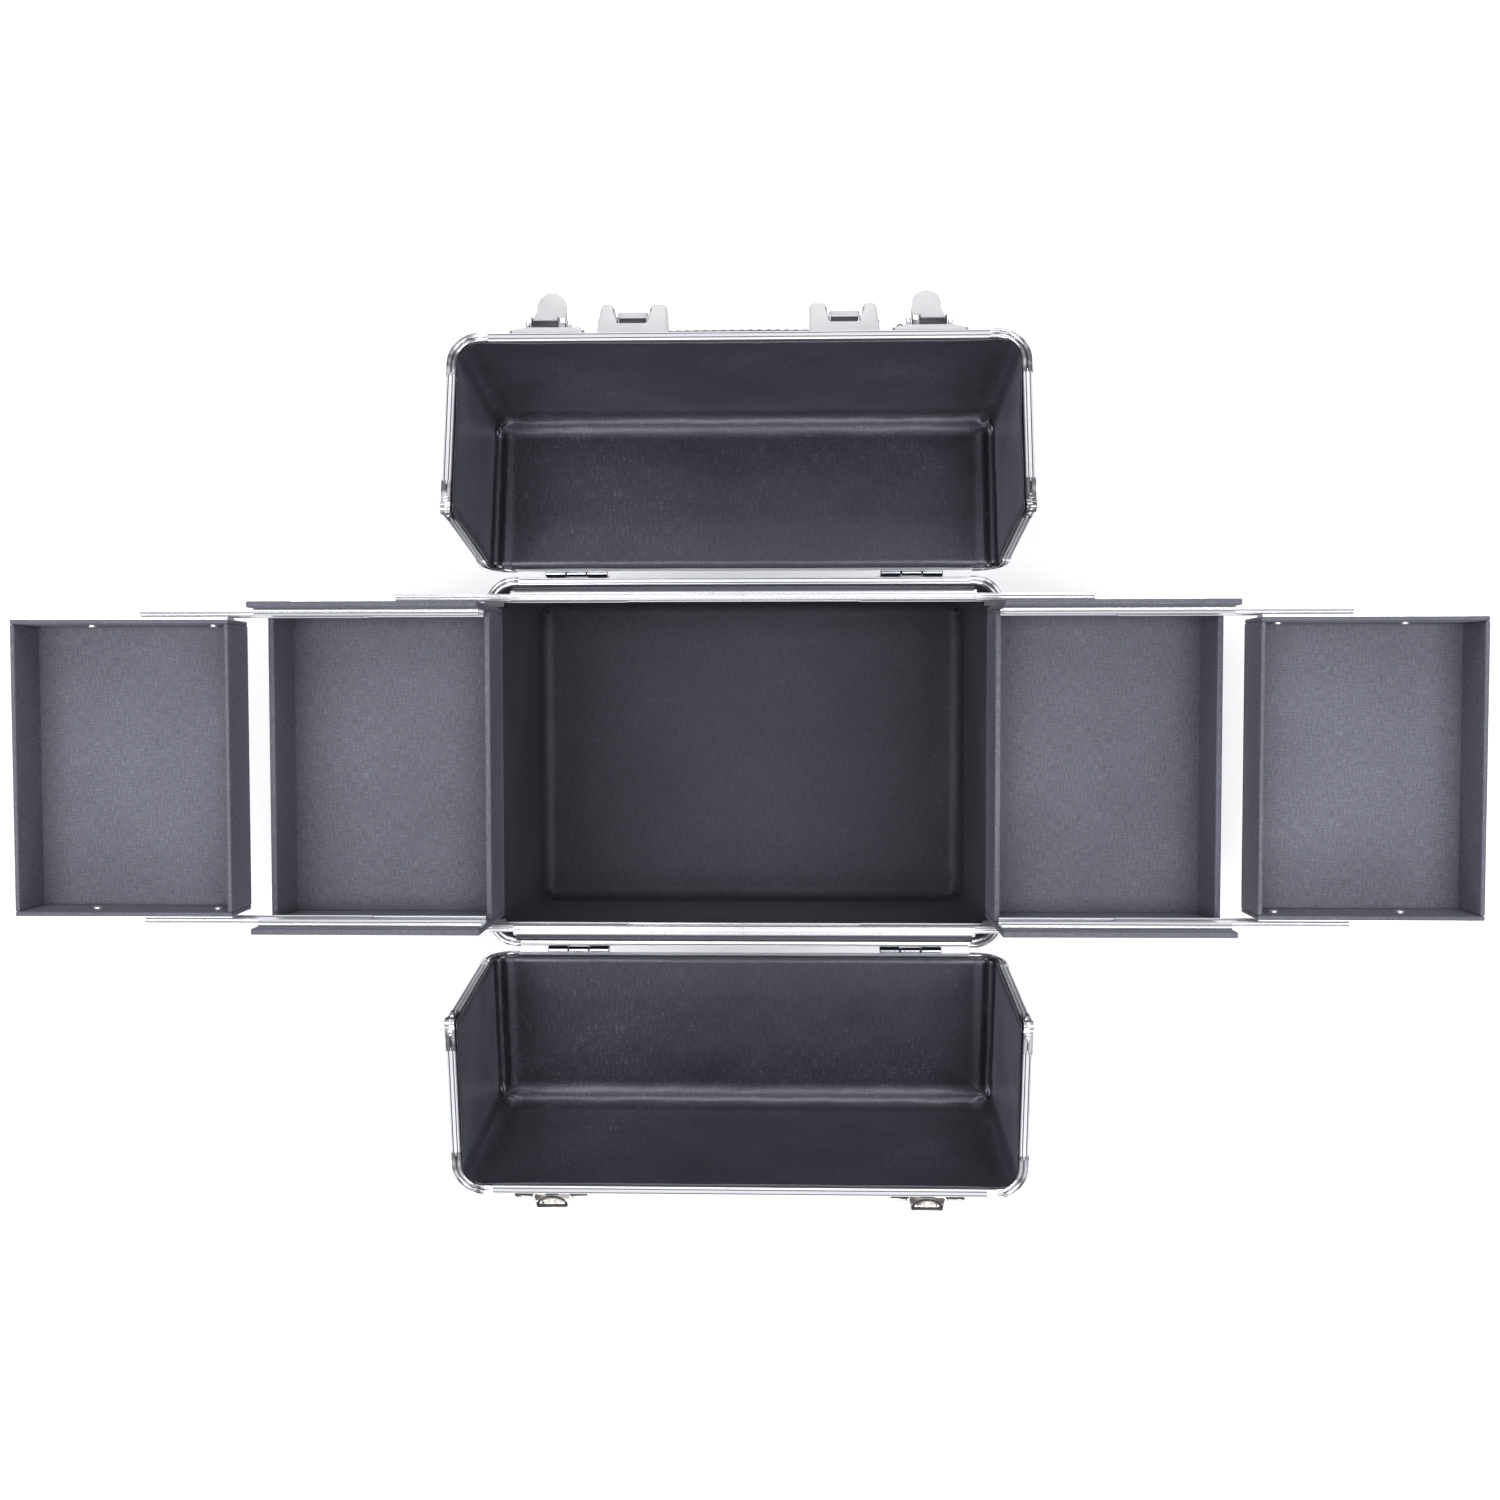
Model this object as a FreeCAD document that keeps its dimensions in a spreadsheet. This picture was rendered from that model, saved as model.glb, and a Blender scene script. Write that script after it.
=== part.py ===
import FreeCAD, Part
import Sketcher
import os
import re

# Two-lid makeup train case, standing open: both lids swung back and both tiers of trays
# pulled out to the sides on three-part slides. Millimetres, +Z up, origin on the floor
# under the middle of the case. X runs along the case, +Y is the side with the handle.

doc = FreeCAD.newDocument("train_case")
sheet = doc.addObject("Spreadsheet::Sheet", "Dims")

DIMENSIONS = [
    # case body
    ("half_length", 180), ("half_depth", 129), ("rim_height", 202), ("base_height", 6),
    ("corner_radius", 20), ("panel_inset", 1.5), ("panel_thick", 4), ("board_thick", 5),
    ("pad_thick", 1.5), ("skin_thick", 1), ("rail_leg", 14), ("rail_thick", 1.5),
    ("rim_cap", 2.5), ("rim_corner", 14), ("foot_radius", 10), ("foot_x", 150), ("foot_y", 100),
    # board that carries the lower slides
    ("lip_half", 157), ("lip_thick", 5), ("lip_above", 22), ("lip_below", 40),
    # lids, measured from the hinge axis
    ("hinge_offset", 2.5), ("lid_top", 116), ("seam_gap", 0.3), ("back_angle", 101.8),
    ("front_angle", 99.1), ("lid_corner", 13), ("lid_rail", 7), ("fitting_leg", 20),
    # hinges
    ("hinge_x", 116), ("knuckle_radius", 2.3), ("knuckle_bore", 1.25), ("hinge_pin", 1.2),
    ("knuckle_long", 14), ("knuckle_gap", 0.4), ("leaf_long", 15), ("leaf_thick", 1.2),
    # lower trays and their slides, heights above the rim
    ("low_inner", 167.5), ("low_length", 149), ("low_half", 107.5), ("low_bottom", 3.5),
    ("low_end_top", 47), ("low_side_top", 86), ("low_wall", 4), ("tray_floor", 3),
    ("low_travel", 160), ("low_slide_long", 158.2), ("low_fixed_start", 0.3),
    ("low_slide_bottom", 3), ("low_slide_top", 20), ("low_rail_deep", 7), ("low_rail_sheet", 1.2),
    ("low_runner_in", 2), ("low_runner_deep", 5.5), ("low_runner_sheet", 1),
    ("low_strip_start", 164), ("low_strip_end", 312), ("low_strip_in", 3.2),
    ("low_strip_back", 1.2), ("low_strip_rail", 5.8), ("low_strip_step", 0.8),
    # upper trays and their slides
    ("up_inner", 329), ("up_length", 142.5), ("up_half", 96.2), ("up_bottom", 49.5),
    ("up_top", 84), ("up_wall", 3), ("up_travel", 150), ("up_slide_long", 146.5),
    ("up_fixed_start", 168.5), ("up_slide_bottom", 60), ("up_slide_top", 77),
    ("up_rail_deep", 5.1), ("up_rail_sheet", 1), ("up_runner_in", 1.8), ("up_runner_deep", 3.8),
    ("up_runner_sheet", 0.8), ("up_strip_start", 333), ("up_strip_end", 463.5),
    ("up_strip_in", 2.2), ("up_strip_back", 1), ("up_strip_rail", 3.1), ("up_strip_step", 1),
    ("screw_radius", 2.6), ("screw_head", 1.2), ("screw_near", 15), ("screw_far", 47),
    # carrying handle on the back lid
    ("bracket_x", 66), ("bracket_half", 22), ("fork_half", 21), ("fork_gap", 10.8),
    ("bracket_foot", 11), ("bracket_base", 2), ("ear_radius", 8.5),
    ("handle_a", 120), ("handle_b", 127), ("handle_pin", 2), ("handle_bore", 2.06),
    ("link_half", 10.3), ("link_eye", 4.5), ("link_thick", 4), ("link_drop", 55),
    ("grip_radius", 9), ("grip_half", 80), ("grip_gap", 0.03),
    # latches on the back lid and catches on the front lid
    ("latch_x", 118.5), ("latch_plate_half", 23.75), ("latch_plate_thick", 3.5),
    ("latch_plate_near", 1), ("latch_plate_far", 13), ("cheek_gap", 0.5), ("cheek_thick", 3),
    ("cheek_half", 3), ("cheek_above", 2), ("lever_a", 123), ("lever_b", 123.2),
    ("lever_half", 11), ("lever_long", 22), ("lever_thick", 4), ("lever_eye", 3),
    ("latch_pin", 1.5), ("latch_bore", 1.56), ("catch_x", 118), ("catch_plate_thick", 3),
    ("catch_radius", 10.25),
]
ALIASES = [name for name, size in DIMENSIONS]
for row, (name, size) in enumerate(DIMENSIONS, start=1):
    sheet.set("A%d" % row, name)
    sheet.set("B%d" % row, str(size))
    sheet.setAlias("B%d" % row, name)
doc.recompute()

WORD = re.compile(r"\b(" + "|".join(ALIASES) + r")\b")
NODES = []


# ---------------------------------------------------------------- helpers

def dim(name):
    """One driving dimension, read back from the sheet."""
    return float(sheet.get(name))


def bind(thing, prop, text):
    """Bind a property to an expression written with the sheet's words."""
    thing.setExpression(prop, WORD.sub(r"Dims.\1", str(text)))


def flip(side, low, high):
    """The span low..high on the plus side, or its mirror image on the minus side."""
    if side > 0:
        return (low, high)
    return ("-(%s)" % high, "-(%s)" % low)


def node(thing, label):
    """Name a finished piece: its label is its file name."""
    thing.Label = label
    NODES.append(thing)
    return thing


def group(label, pieces):
    """Separate solids of one kind kept together as one node."""
    thing = doc.addObject("Part::Compound", label)
    thing.Links = pieces
    return node(thing, label)


def box(x, y, z, name="Box"):
    """A box between three pairs of expressions."""
    thing = doc.addObject("Part::Box", name)
    for size, base, (low, high) in (("Length", "x", x), ("Width", "y", y), ("Height", "z", z)):
        bind(thing, size, "(%s) - (%s)" % (high, low))
        bind(thing, "Placement.Base." + base, low)
    return thing


def place(thing, turn, x, y, z):
    """Fix a piece's rotation and bind its position."""
    thing.Placement = FreeCAD.Placement(FreeCAD.Vector(0, 0, 0), turn)
    for base, text in (("x", x), ("y", y), ("z", z)):
        bind(thing, "Placement.Base." + base, text)
    return thing


def rod(radius, length, turn, x, y, z, angle=360, name="Rod"):
    thing = doc.addObject("Part::Cylinder", name)
    bind(thing, "Radius", radius)
    bind(thing, "Height", length)
    thing.Angle = angle
    return place(thing, turn, x, y, z)


def cut(base, tool, name="Cut"):
    thing = doc.addObject("Part::Cut", name)
    thing.Base = base
    thing.Tool = tool
    return thing


def fuse(pieces, name="Fuse"):
    thing = doc.addObject("Part::MultiFuse", name)
    thing.Shapes = pieces
    thing.Refine = True
    return thing


def turn_to(first, along):
    """The rotation that takes the cylinder's own +X to first and its own +Z to along."""
    x_axis = FreeCAD.Vector(*first)
    z_axis = FreeCAD.Vector(*along)
    return FreeCAD.Rotation(x_axis, z_axis.cross(x_axis), z_axis, "ZXY")


ALONG_X = turn_to((0, 1, 0), (1, 0, 0))


def quarter(centre, first, second, along, length, inner="corner_radius - panel_inset - panel_thick"):
    """A quarter of a tube: from direction first round to direction second, extruded by length.

    The tube runs along the third direction, whichever way makes a right-handed set.
    """
    first_v = FreeCAD.Vector(*first)
    second_v = FreeCAD.Vector(*second)
    along_v = FreeCAD.Vector(*along)
    if first_v.cross(second_v).dot(along_v) < 0:
        first, second = second, first
    turn = turn_to(first, along)
    outer = rod("corner_radius", length, turn, *centre, angle=90)
    core = rod(inner, length, turn, *centre, angle=90)
    return cut(outer, core)


# ---------------------------------------------------------------- case body

PANEL_OUT_X = "half_length - panel_inset"
PANEL_IN_X = "half_length - panel_inset - panel_thick"
PANEL_OUT_Y = "half_depth - panel_inset"
PANEL_IN_Y = "half_depth - panel_inset - panel_thick"
STRAIGHT_X = "half_length - corner_radius"
STRAIGHT_Y = "half_depth - corner_radius"
UNDERSIDE = "base_height + rail_thick"
FLOOR_TOP = "base_height + rail_thick + board_thick"
PAD_TOP = "base_height + rail_thick + board_thick + pad_thick"


def bottom_panel():
    """Rounded board inside the four walls: a padded rectangle with filleted corners."""
    body = doc.addObject("PartDesign::Body", "BottomPanel")
    sketch = body.newObject("Sketcher::SketchObject", "BottomOutline")
    plane = [f for f in body.Origin.OriginFeatures if f.Role == "XY_Plane"][0]
    sketch.AttachmentSupport = [(plane, "")]
    sketch.MapMode = "FlatFace"
    half_x = dim("half_length") - dim("panel_inset") - dim("panel_thick")
    half_y = dim("half_depth") - dim("panel_inset") - dim("panel_thick")
    corners = [(-half_x, -half_y), (half_x, -half_y), (half_x, half_y), (-half_x, half_y)]
    for start, end in zip(corners, corners[1:] + corners[:1]):
        line = Part.LineSegment(FreeCAD.Vector(*start, 0), FreeCAD.Vector(*end, 0))
        sketch.addGeometry(line, False)
    for edge in range(4):
        sketch.addConstraint(Sketcher.Constraint("Coincident", edge, 2, (edge + 1) % 4, 1))
    sketch.addConstraint(Sketcher.Constraint("Horizontal", 0))
    sketch.addConstraint(Sketcher.Constraint("Vertical", 1))
    sketch.addConstraint(Sketcher.Constraint("Symmetric", 0, 1, 1, 2, -1, 1))
    width = sketch.addConstraint(Sketcher.Constraint("DistanceX", 0, 1, 0, 2, 2 * half_x))
    depth = sketch.addConstraint(Sketcher.Constraint("DistanceY", 1, 1, 1, 2, 2 * half_y))
    sketch.addConstraint(Sketcher.Constraint("Horizontal", 2))
    bind(sketch, "Constraints[%d]" % width, "2 * (%s)" % PANEL_IN_X)
    bind(sketch, "Constraints[%d]" % depth, "2 * (%s)" % PANEL_IN_Y)
    pad = body.newObject("PartDesign::Pad", "BottomBoard")
    pad.Profile = sketch
    bind(pad, "Length", "board_thick")
    doc.recompute()
    upright = []
    for number, edge in enumerate(pad.Shape.Edges, start=1):
        if abs(edge.tangentAt(edge.FirstParameter).z) > 0.99:
            upright.append("Edge%d" % number)
    fillet = body.newObject("PartDesign::Fillet", "BottomCorners")
    fillet.Base = (pad, upright)
    bind(fillet, "Radius", "corner_radius - panel_inset - panel_thick")
    body.Tip = fillet
    bind(body, "Placement.Base.z", UNDERSIDE)
    return node(body, "case_bottom_panel")


def case_panels():
    height = (UNDERSIDE, "rim_height - rim_cap")
    long_x = ("-(%s)" % STRAIGHT_X, STRAIGHT_X)
    group("case_long_panels",
          [box(long_x, flip(side, PANEL_IN_Y, PANEL_OUT_Y), height) for side in (1, -1)])
    end_y = ("-(%s)" % STRAIGHT_Y, STRAIGHT_Y)
    group("case_end_panels",
          [box(flip(side, PANEL_IN_X, PANEL_OUT_X), end_y, height) for side in (1, -1)])


def case_corner_set(low, high):
    """Four upright quarter tubes between two heights."""
    pieces = []
    for side_x in (1, -1):
        for side_y in (1, -1):
            centre = ("%d * (%s)" % (side_x, STRAIGHT_X), "%d * (%s)" % (side_y, STRAIGHT_Y), low)
            pieces.append(quarter(centre, (side_x, 0, 0), (0, side_y, 0), (0, 0, 1),
                                  "(%s) - (%s)" % (high, low)))
    return pieces


def case_frame():
    group("case_corner_posts", case_corner_set("base_height + rail_leg", "rim_height - rim_corner"))
    group("case_corner_caps", case_corner_set("rim_height - rim_corner", "rim_height")
          + case_corner_set("base_height", "base_height + rail_leg"))
    rims = []
    bases = []
    long_x = ("-(%s)" % STRAIGHT_X, STRAIGHT_X)
    end_y = ("-(%s)" % STRAIGHT_Y, STRAIGHT_Y)
    for side in (1, -1):
        cap_z = ("rim_height - rim_cap", "rim_height")
        leg_z = ("rim_height - rail_leg", "rim_height")
        rims.append(fuse([box(long_x, flip(side, PANEL_IN_Y, "half_depth"), cap_z),
                          box(long_x, flip(side, PANEL_OUT_Y, "half_depth"), leg_z)]))
        rims.append(fuse([box(flip(side, PANEL_IN_X, "half_length"), end_y, cap_z),
                          box(flip(side, PANEL_OUT_X, "half_length"), end_y, leg_z)]))
        toe_z = ("base_height", UNDERSIDE)
        foot_z = ("base_height", "base_height + rail_leg")
        bases.append(fuse([box(long_x, flip(side, "half_depth - rail_leg", "half_depth"), toe_z),
                           box(long_x, flip(side, PANEL_OUT_Y, "half_depth"), foot_z)]))
        bases.append(fuse([box(flip(side, "half_length - rail_leg", "half_length"), end_y, toe_z),
                           box(flip(side, PANEL_OUT_X, "half_length"), end_y, foot_z)]))
    group("case_rim_rails", rims)
    group("case_base_rails", bases)
    upright = FreeCAD.Rotation()
    feet = [rod("foot_radius", UNDERSIDE, upright, "%d * foot_x" % sx, "%d * foot_y" % sy, 0)
            for sx in (1, -1) for sy in (1, -1)]
    group("case_feet", feet)


def case_inside():
    skin_x = "%s - skin_thick" % PANEL_IN_X
    skin_y = "%s - skin_thick" % PANEL_IN_Y
    pad_x = "half_length - corner_radius - skin_thick"
    pieces = [box(("-(%s)" % pad_x, pad_x), ("-(%s)" % skin_y, skin_y), (FLOOR_TOP, PAD_TOP))]
    end_y = ("-(%s)" % STRAIGHT_Y, STRAIGHT_Y)
    for side in (1, -1):
        pieces.append(box(flip(side, pad_x, PANEL_IN_X), end_y, (FLOOR_TOP, PAD_TOP)))
        pieces.append(box(flip(side, skin_x, PANEL_IN_X), end_y, (PAD_TOP, "rim_height - rim_cap")))
        pieces.append(box(("-(%s)" % STRAIGHT_X, STRAIGHT_X), flip(side, skin_y, PANEL_IN_Y),
                          (PAD_TOP, "rim_height - lip_below")))
    group("case_lining", pieces)
    group("slide_boards",
          [box(("-lip_half", "lip_half"), flip(side, "%s - lip_thick" % PANEL_IN_Y, PANEL_IN_Y),
               ("rim_height - lip_below", "rim_height + lip_above")) for side in (1, -1)])


# ---------------------------------------------------------------- slides

def channel(x, side, face, depth, z, sheet_thick):
    """C-shaped slide member: its web lies on |y| = face and its mouth looks towards the middle."""
    low, high = z
    outer = box(x, flip(side, "(%s) - (%s)" % (face, depth), face), z)
    core = box(x, flip(side, "(%s) - (%s)" % (face, depth), "(%s) - %s" % (face, sheet_thick)),
               ("(%s) + %s" % (low, sheet_thick), "(%s) - %s" % (high, sheet_thick)))
    return cut(outer, core)


def strip(x, side, face, back, rail, z, step):
    """Inner slide member: a flat back against the tray at |y| = face and a raised rail on it."""
    low, high = z
    plate = box(x, flip(side, face, "%s + %s" % (face, back)), z)
    raised = box(x, flip(side, face, "%s + %s + %s" % (face, back, rail)),
                 ("(%s) + %s" % (low, step), "(%s) - %s" % (high, step)))
    return fuse([plate, raised])


LOW_Z = ("rim_height + low_slide_bottom", "rim_height + low_slide_top")
UP_Z = ("rim_height + up_slide_bottom", "rim_height + up_slide_top")
LIP_FACE = "%s - lip_thick" % PANEL_IN_Y


def inset(z, by):
    return ("%s + %s" % (z[0], by), "%s - %s" % (z[1], by))


def slides():
    """Three-part slides: outer members are fixed, the runners are in the middle."""
    outer = []
    for end in (1, -1):
        for side in (1, -1):
            x = flip(end, "low_fixed_start", "low_fixed_start + low_slide_long")
            outer.append(channel(x, side, LIP_FACE, "low_rail_deep", LOW_Z, "low_rail_sheet"))
    group("lower_slide_rails", outer)
    for end, word in ((-1, "left"), (1, "right")):
        run_x = flip(end, "low_fixed_start + 0.5 * low_travel",
                     "low_fixed_start + 0.5 * low_travel + low_slide_long")
        group(word + "_lower_runners",
              [channel(run_x, side, "%s - low_runner_in" % LIP_FACE, "low_runner_deep",
                       inset(LOW_Z, "low_runner_in"), "low_runner_sheet") for side in (1, -1)])
        strip_x = flip(end, "low_strip_start", "low_strip_end")
        group(word + "_lower_slide_strips",
              [strip(strip_x, side, "low_half", "low_strip_back", "low_strip_rail",
                     inset(LOW_Z, "low_strip_in"), "low_strip_step") for side in (1, -1)])
        fixed_x = flip(end, "up_fixed_start", "up_fixed_start + up_slide_long")
        group(word + "_upper_slide_rails",
              [channel(fixed_x, side, "low_half - low_wall", "up_rail_deep", UP_Z, "up_rail_sheet")
               for side in (1, -1)])
        up_x = flip(end, "up_fixed_start + 0.5 * up_travel",
                    "up_fixed_start + 0.5 * up_travel + up_slide_long")
        group(word + "_upper_runners",
              [channel(up_x, side, "low_half - low_wall - up_runner_in", "up_runner_deep",
                       inset(UP_Z, "up_runner_in"), "up_runner_sheet") for side in (1, -1)])
        up_strip = flip(end, "up_strip_start", "up_strip_end")
        group(word + "_upper_slide_strips",
              [strip(up_strip, side, "up_half", "up_strip_back", "up_strip_rail",
                     inset(UP_Z, "up_strip_in"), "up_strip_step") for side in (1, -1)])


# ---------------------------------------------------------------- trays

def tray(word, end, inner, length, half, wall, low, end_top, side_top):
    """A floor board, two end walls standing on it and two side walls outside it."""
    bottom = "rim_height + %s" % low
    on_floor = "%s + tray_floor" % bottom
    far = "%s + %s" % (inner, length)
    within = ("-(%s - %s)" % (half, wall), "%s - %s" % (half, wall))
    floor = box(flip(end, inner, far), within, (bottom, on_floor))
    node(floor, word + "_floor")
    top = "rim_height + %s" % end_top
    group(word + "_end_walls",
          [box(flip(end, inner, "%s + %s" % (inner, wall)), within, (on_floor, top)),
           box(flip(end, "%s - %s" % (far, wall), far), within, (on_floor, top))])
    group(word + "_side_walls",
          [box(flip(end, inner, far), flip(side, "%s - %s" % (half, wall), half),
               (bottom, "rim_height + %s" % side_top)) for side in (1, -1)])


def trays():
    for end, word in ((-1, "left"), (1, "right")):
        tray(word + "_lower_tray", end, "low_inner", "low_length", "low_half", "low_wall",
             "low_bottom", "low_end_top", "low_side_top")
        tray(word + "_upper_tray", end, "up_inner", "up_length", "up_half", "up_wall",
             "up_bottom", "up_top", "up_top")
        screws = []
        for side in (1, -1):
            turn = turn_to((1, 0, 0), (0, -side, 0))
            for along in ("up_inner + screw_near", "up_inner + up_length - screw_far"):
                face = "%d * (up_half - up_wall)" % side
                height = "rim_height + 0.5 * (up_slide_bottom + up_slide_top)"
                screws.append(rod("screw_radius", "screw_head", turn, "%d * (%s)" % (end, along),
                                  face, height))
        group(word + "_upper_tray_screws", screws)


# ---------------------------------------------------------------- lids

SEAM = "half_depth + hinge_offset - seam_gap"
LID_LOW = "seam_gap"
LID_SIDES = (("back", 1), ("front", -1))


def lid_box(side, x, a, b):
    """A box in the lid's own measure: a from the hinge towards the seam, b above the hinge."""
    return box(x, flip(-side, a[0], a[1]), b)


def lid_group(side, label, pieces):
    """Join lid pieces into one node and swing them open about the hinge axis."""
    word = label.split("_")[0]
    thing = group(label, pieces)
    axis = FreeCAD.Vector(-side, 0, 0)
    thing.Placement = FreeCAD.Placement(FreeCAD.Vector(0, 0, 0), FreeCAD.Rotation(axis, 90))
    bind(thing, "Placement.Rotation.Angle", word + "_angle")
    bind(thing, "Placement.Base.y", "%d * (half_depth + hinge_offset)" % side)
    bind(thing, "Placement.Base.z", "rim_height")
    return thing


def lid_panels(word, side):
    outer_a = "hinge_offset + panel_inset"
    inner_a = "hinge_offset + panel_inset + panel_thick"
    round_a = "hinge_offset + corner_radius"
    round_b = "lid_top - corner_radius"
    top_b = ("lid_top - panel_inset - panel_thick", "lid_top - panel_inset")
    free_a = "%s - rim_cap" % SEAM
    long_x = ("-(%s)" % STRAIGHT_X, STRAIGHT_X)
    upright = ("%s + rim_cap" % LID_LOW, round_b)
    lid_group(side, word + "_lid_top_panel", [lid_box(side, long_x, (round_a, free_a), top_b)])
    lid_group(side, word + "_lid_wall_panel", [lid_box(side, long_x, (outer_a, inner_a), upright)])
    lid_group(side, word + "_lid_side_panels",
              [lid_box(side, flip(end, PANEL_IN_X, PANEL_OUT_X), (round_a, free_a), upright)
               for end in (1, -1)])


def lid_quarter(side, end, x, a, b, first, second, along, length):
    """A quarter tube in the lid's measure; directions are given as (x, a, b)."""
    def local(v):
        return (v[0], -side * v[1], v[2])
    centre = (x, "%d * (%s)" % (-side, a), b)
    return quarter(centre, local(first), local(second), local(along), length)


def lid_frame(word, side):
    """Round edge rails, straight rim rails and the chrome corner pieces."""
    round_a = "hinge_offset + corner_radius"
    round_b = "lid_top - corner_radius"
    low_b = "%s + lid_corner" % LID_LOW
    edges = []
    corners = []
    rims = []
    for end in (1, -1):
        x = "%d * (%s)" % (end, STRAIGHT_X)
        out = (end, 0, 0)
        upright = (0, 0, 1)
        back = (0, -1, 0)
        ahead = (0, 1, 0)
        edges.append(lid_quarter(side, end, x, round_a, low_b, out, back, upright,
                                 "(%s) - (%s)" % (round_b, low_b)))
        corners.append(lid_quarter(side, end, x, round_a, LID_LOW, out, back, upright, "lid_corner"))
        edges.append(lid_quarter(side, end, x, round_a, round_b, out, upright, ahead,
                                 "(%s) - lid_corner - (%s)" % (SEAM, round_a)))
        corners.append(lid_quarter(side, end, x, "%s - lid_corner" % SEAM, round_b, out, upright, ahead,
                                   "lid_corner"))
        corners.append(ball_corner(side, end, x, round_a, round_b))
        side_x = flip(end, PANEL_IN_X, "half_length")
        skin_x = flip(end, PANEL_OUT_X, "half_length")
        fit_a = "%s - fitting_leg" % SEAM
        fit_b = "%s + fitting_leg" % LID_LOW
        cap_b = (LID_LOW, "%s + rim_cap" % LID_LOW)
        cap_a = ("%s - rim_cap" % SEAM, SEAM)
        leg_b = (LID_LOW, "%s + lid_rail" % LID_LOW)
        leg_a = ("%s - lid_rail" % SEAM, SEAM)
        rims.append(fuse([lid_box(side, side_x, (round_a, fit_a), cap_b),
                          lid_box(side, skin_x, (round_a, fit_a), leg_b)]))
        rims.append(fuse([lid_box(side, side_x, cap_a, (fit_b, round_b)),
                          lid_box(side, skin_x, leg_a, (fit_b, round_b))]))
        corners.append(fuse([lid_box(side, side_x, (fit_a, SEAM), cap_b),
                             lid_box(side, side_x, cap_a, (LID_LOW, fit_b)),
                             lid_box(side, skin_x, (fit_a, SEAM), leg_b),
                             lid_box(side, skin_x, leg_a, (LID_LOW, fit_b))]))
    long_x = ("-(%s)" % STRAIGHT_X, STRAIGHT_X)
    edges.append(lid_quarter(side, 1, "-(%s)" % STRAIGHT_X, round_a, round_b, (0, -1, 0), (0, 0, 1),
                             (1, 0, 0), "2 * (%s)" % STRAIGHT_X))
    hinge_skin = ("hinge_offset", "hinge_offset + panel_inset")
    hinge_cap = ("hinge_offset", "hinge_offset + panel_inset + panel_thick")
    rims.append(fuse([lid_box(side, long_x, hinge_cap, (LID_LOW, "%s + rim_cap" % LID_LOW)),
                      lid_box(side, long_x, hinge_skin, (LID_LOW, "%s + lid_rail" % LID_LOW))]))
    rims.append(fuse([lid_box(side, long_x, ("%s - rim_cap" % SEAM, SEAM),
                              ("lid_top - panel_inset - panel_thick", "lid_top")),
                      lid_box(side, long_x, ("%s - rail_leg" % SEAM, SEAM),
                              ("lid_top - panel_inset", "lid_top"))]))
    lid_group(side, word + "_lid_edge_rails", edges)
    lid_group(side, word + "_lid_rim_rails", rims)
    lid_group(side, word + "_lid_corner_pieces", corners)


def ball_corner(side, end, x, a, b):
    """An eighth of a hollow ball where three round edges meet."""
    shells = []
    turns = {(1, 1): 270, (1, -1): 0, (-1, 1): 180, (-1, -1): 90}
    start = FreeCAD.Rotation(FreeCAD.Vector(0, 0, 1), turns[(end, -side)])
    for radius in ("corner_radius", "corner_radius - panel_inset - panel_thick"):
        ball = doc.addObject("Part::Sphere", "Ball")
        bind(ball, "Radius", radius)
        ball.Angle1 = 0
        ball.Angle2 = 90
        ball.Angle3 = 90
        place(ball, start, x, "%d * (%s)" % (-side, a), b)
        shells.append(ball)
    return cut(shells[0], shells[1])


def lid_lining(word, side):
    """Fabric skins on the four inner faces."""
    top_b = ("lid_top - panel_inset - panel_thick - skin_thick", "lid_top - panel_inset - panel_thick")
    wall_a = ("hinge_offset + panel_inset + panel_thick",
              "hinge_offset + panel_inset + panel_thick + skin_thick")
    round_a = "hinge_offset + corner_radius"
    long_x = ("-(%s)" % STRAIGHT_X, STRAIGHT_X)
    upright = ("%s + rim_cap" % LID_LOW, "lid_top - corner_radius")
    free_a = "%s - rim_cap" % SEAM
    pieces = [lid_box(side, long_x, (round_a, free_a), top_b), lid_box(side, long_x, wall_a, upright)]
    for end in (1, -1):
        skin = flip(end, "%s - skin_thick" % PANEL_IN_X, PANEL_IN_X)
        pieces.append(lid_box(side, skin, (round_a, free_a), upright))
    lid_group(side, word + "_lid_lining", pieces)


def lids():
    for word, side in LID_SIDES:
        lid_panels(word, side)
        lid_frame(word, side)
        lid_lining(word, side)


# ---------------------------------------------------------------- hinges

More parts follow.
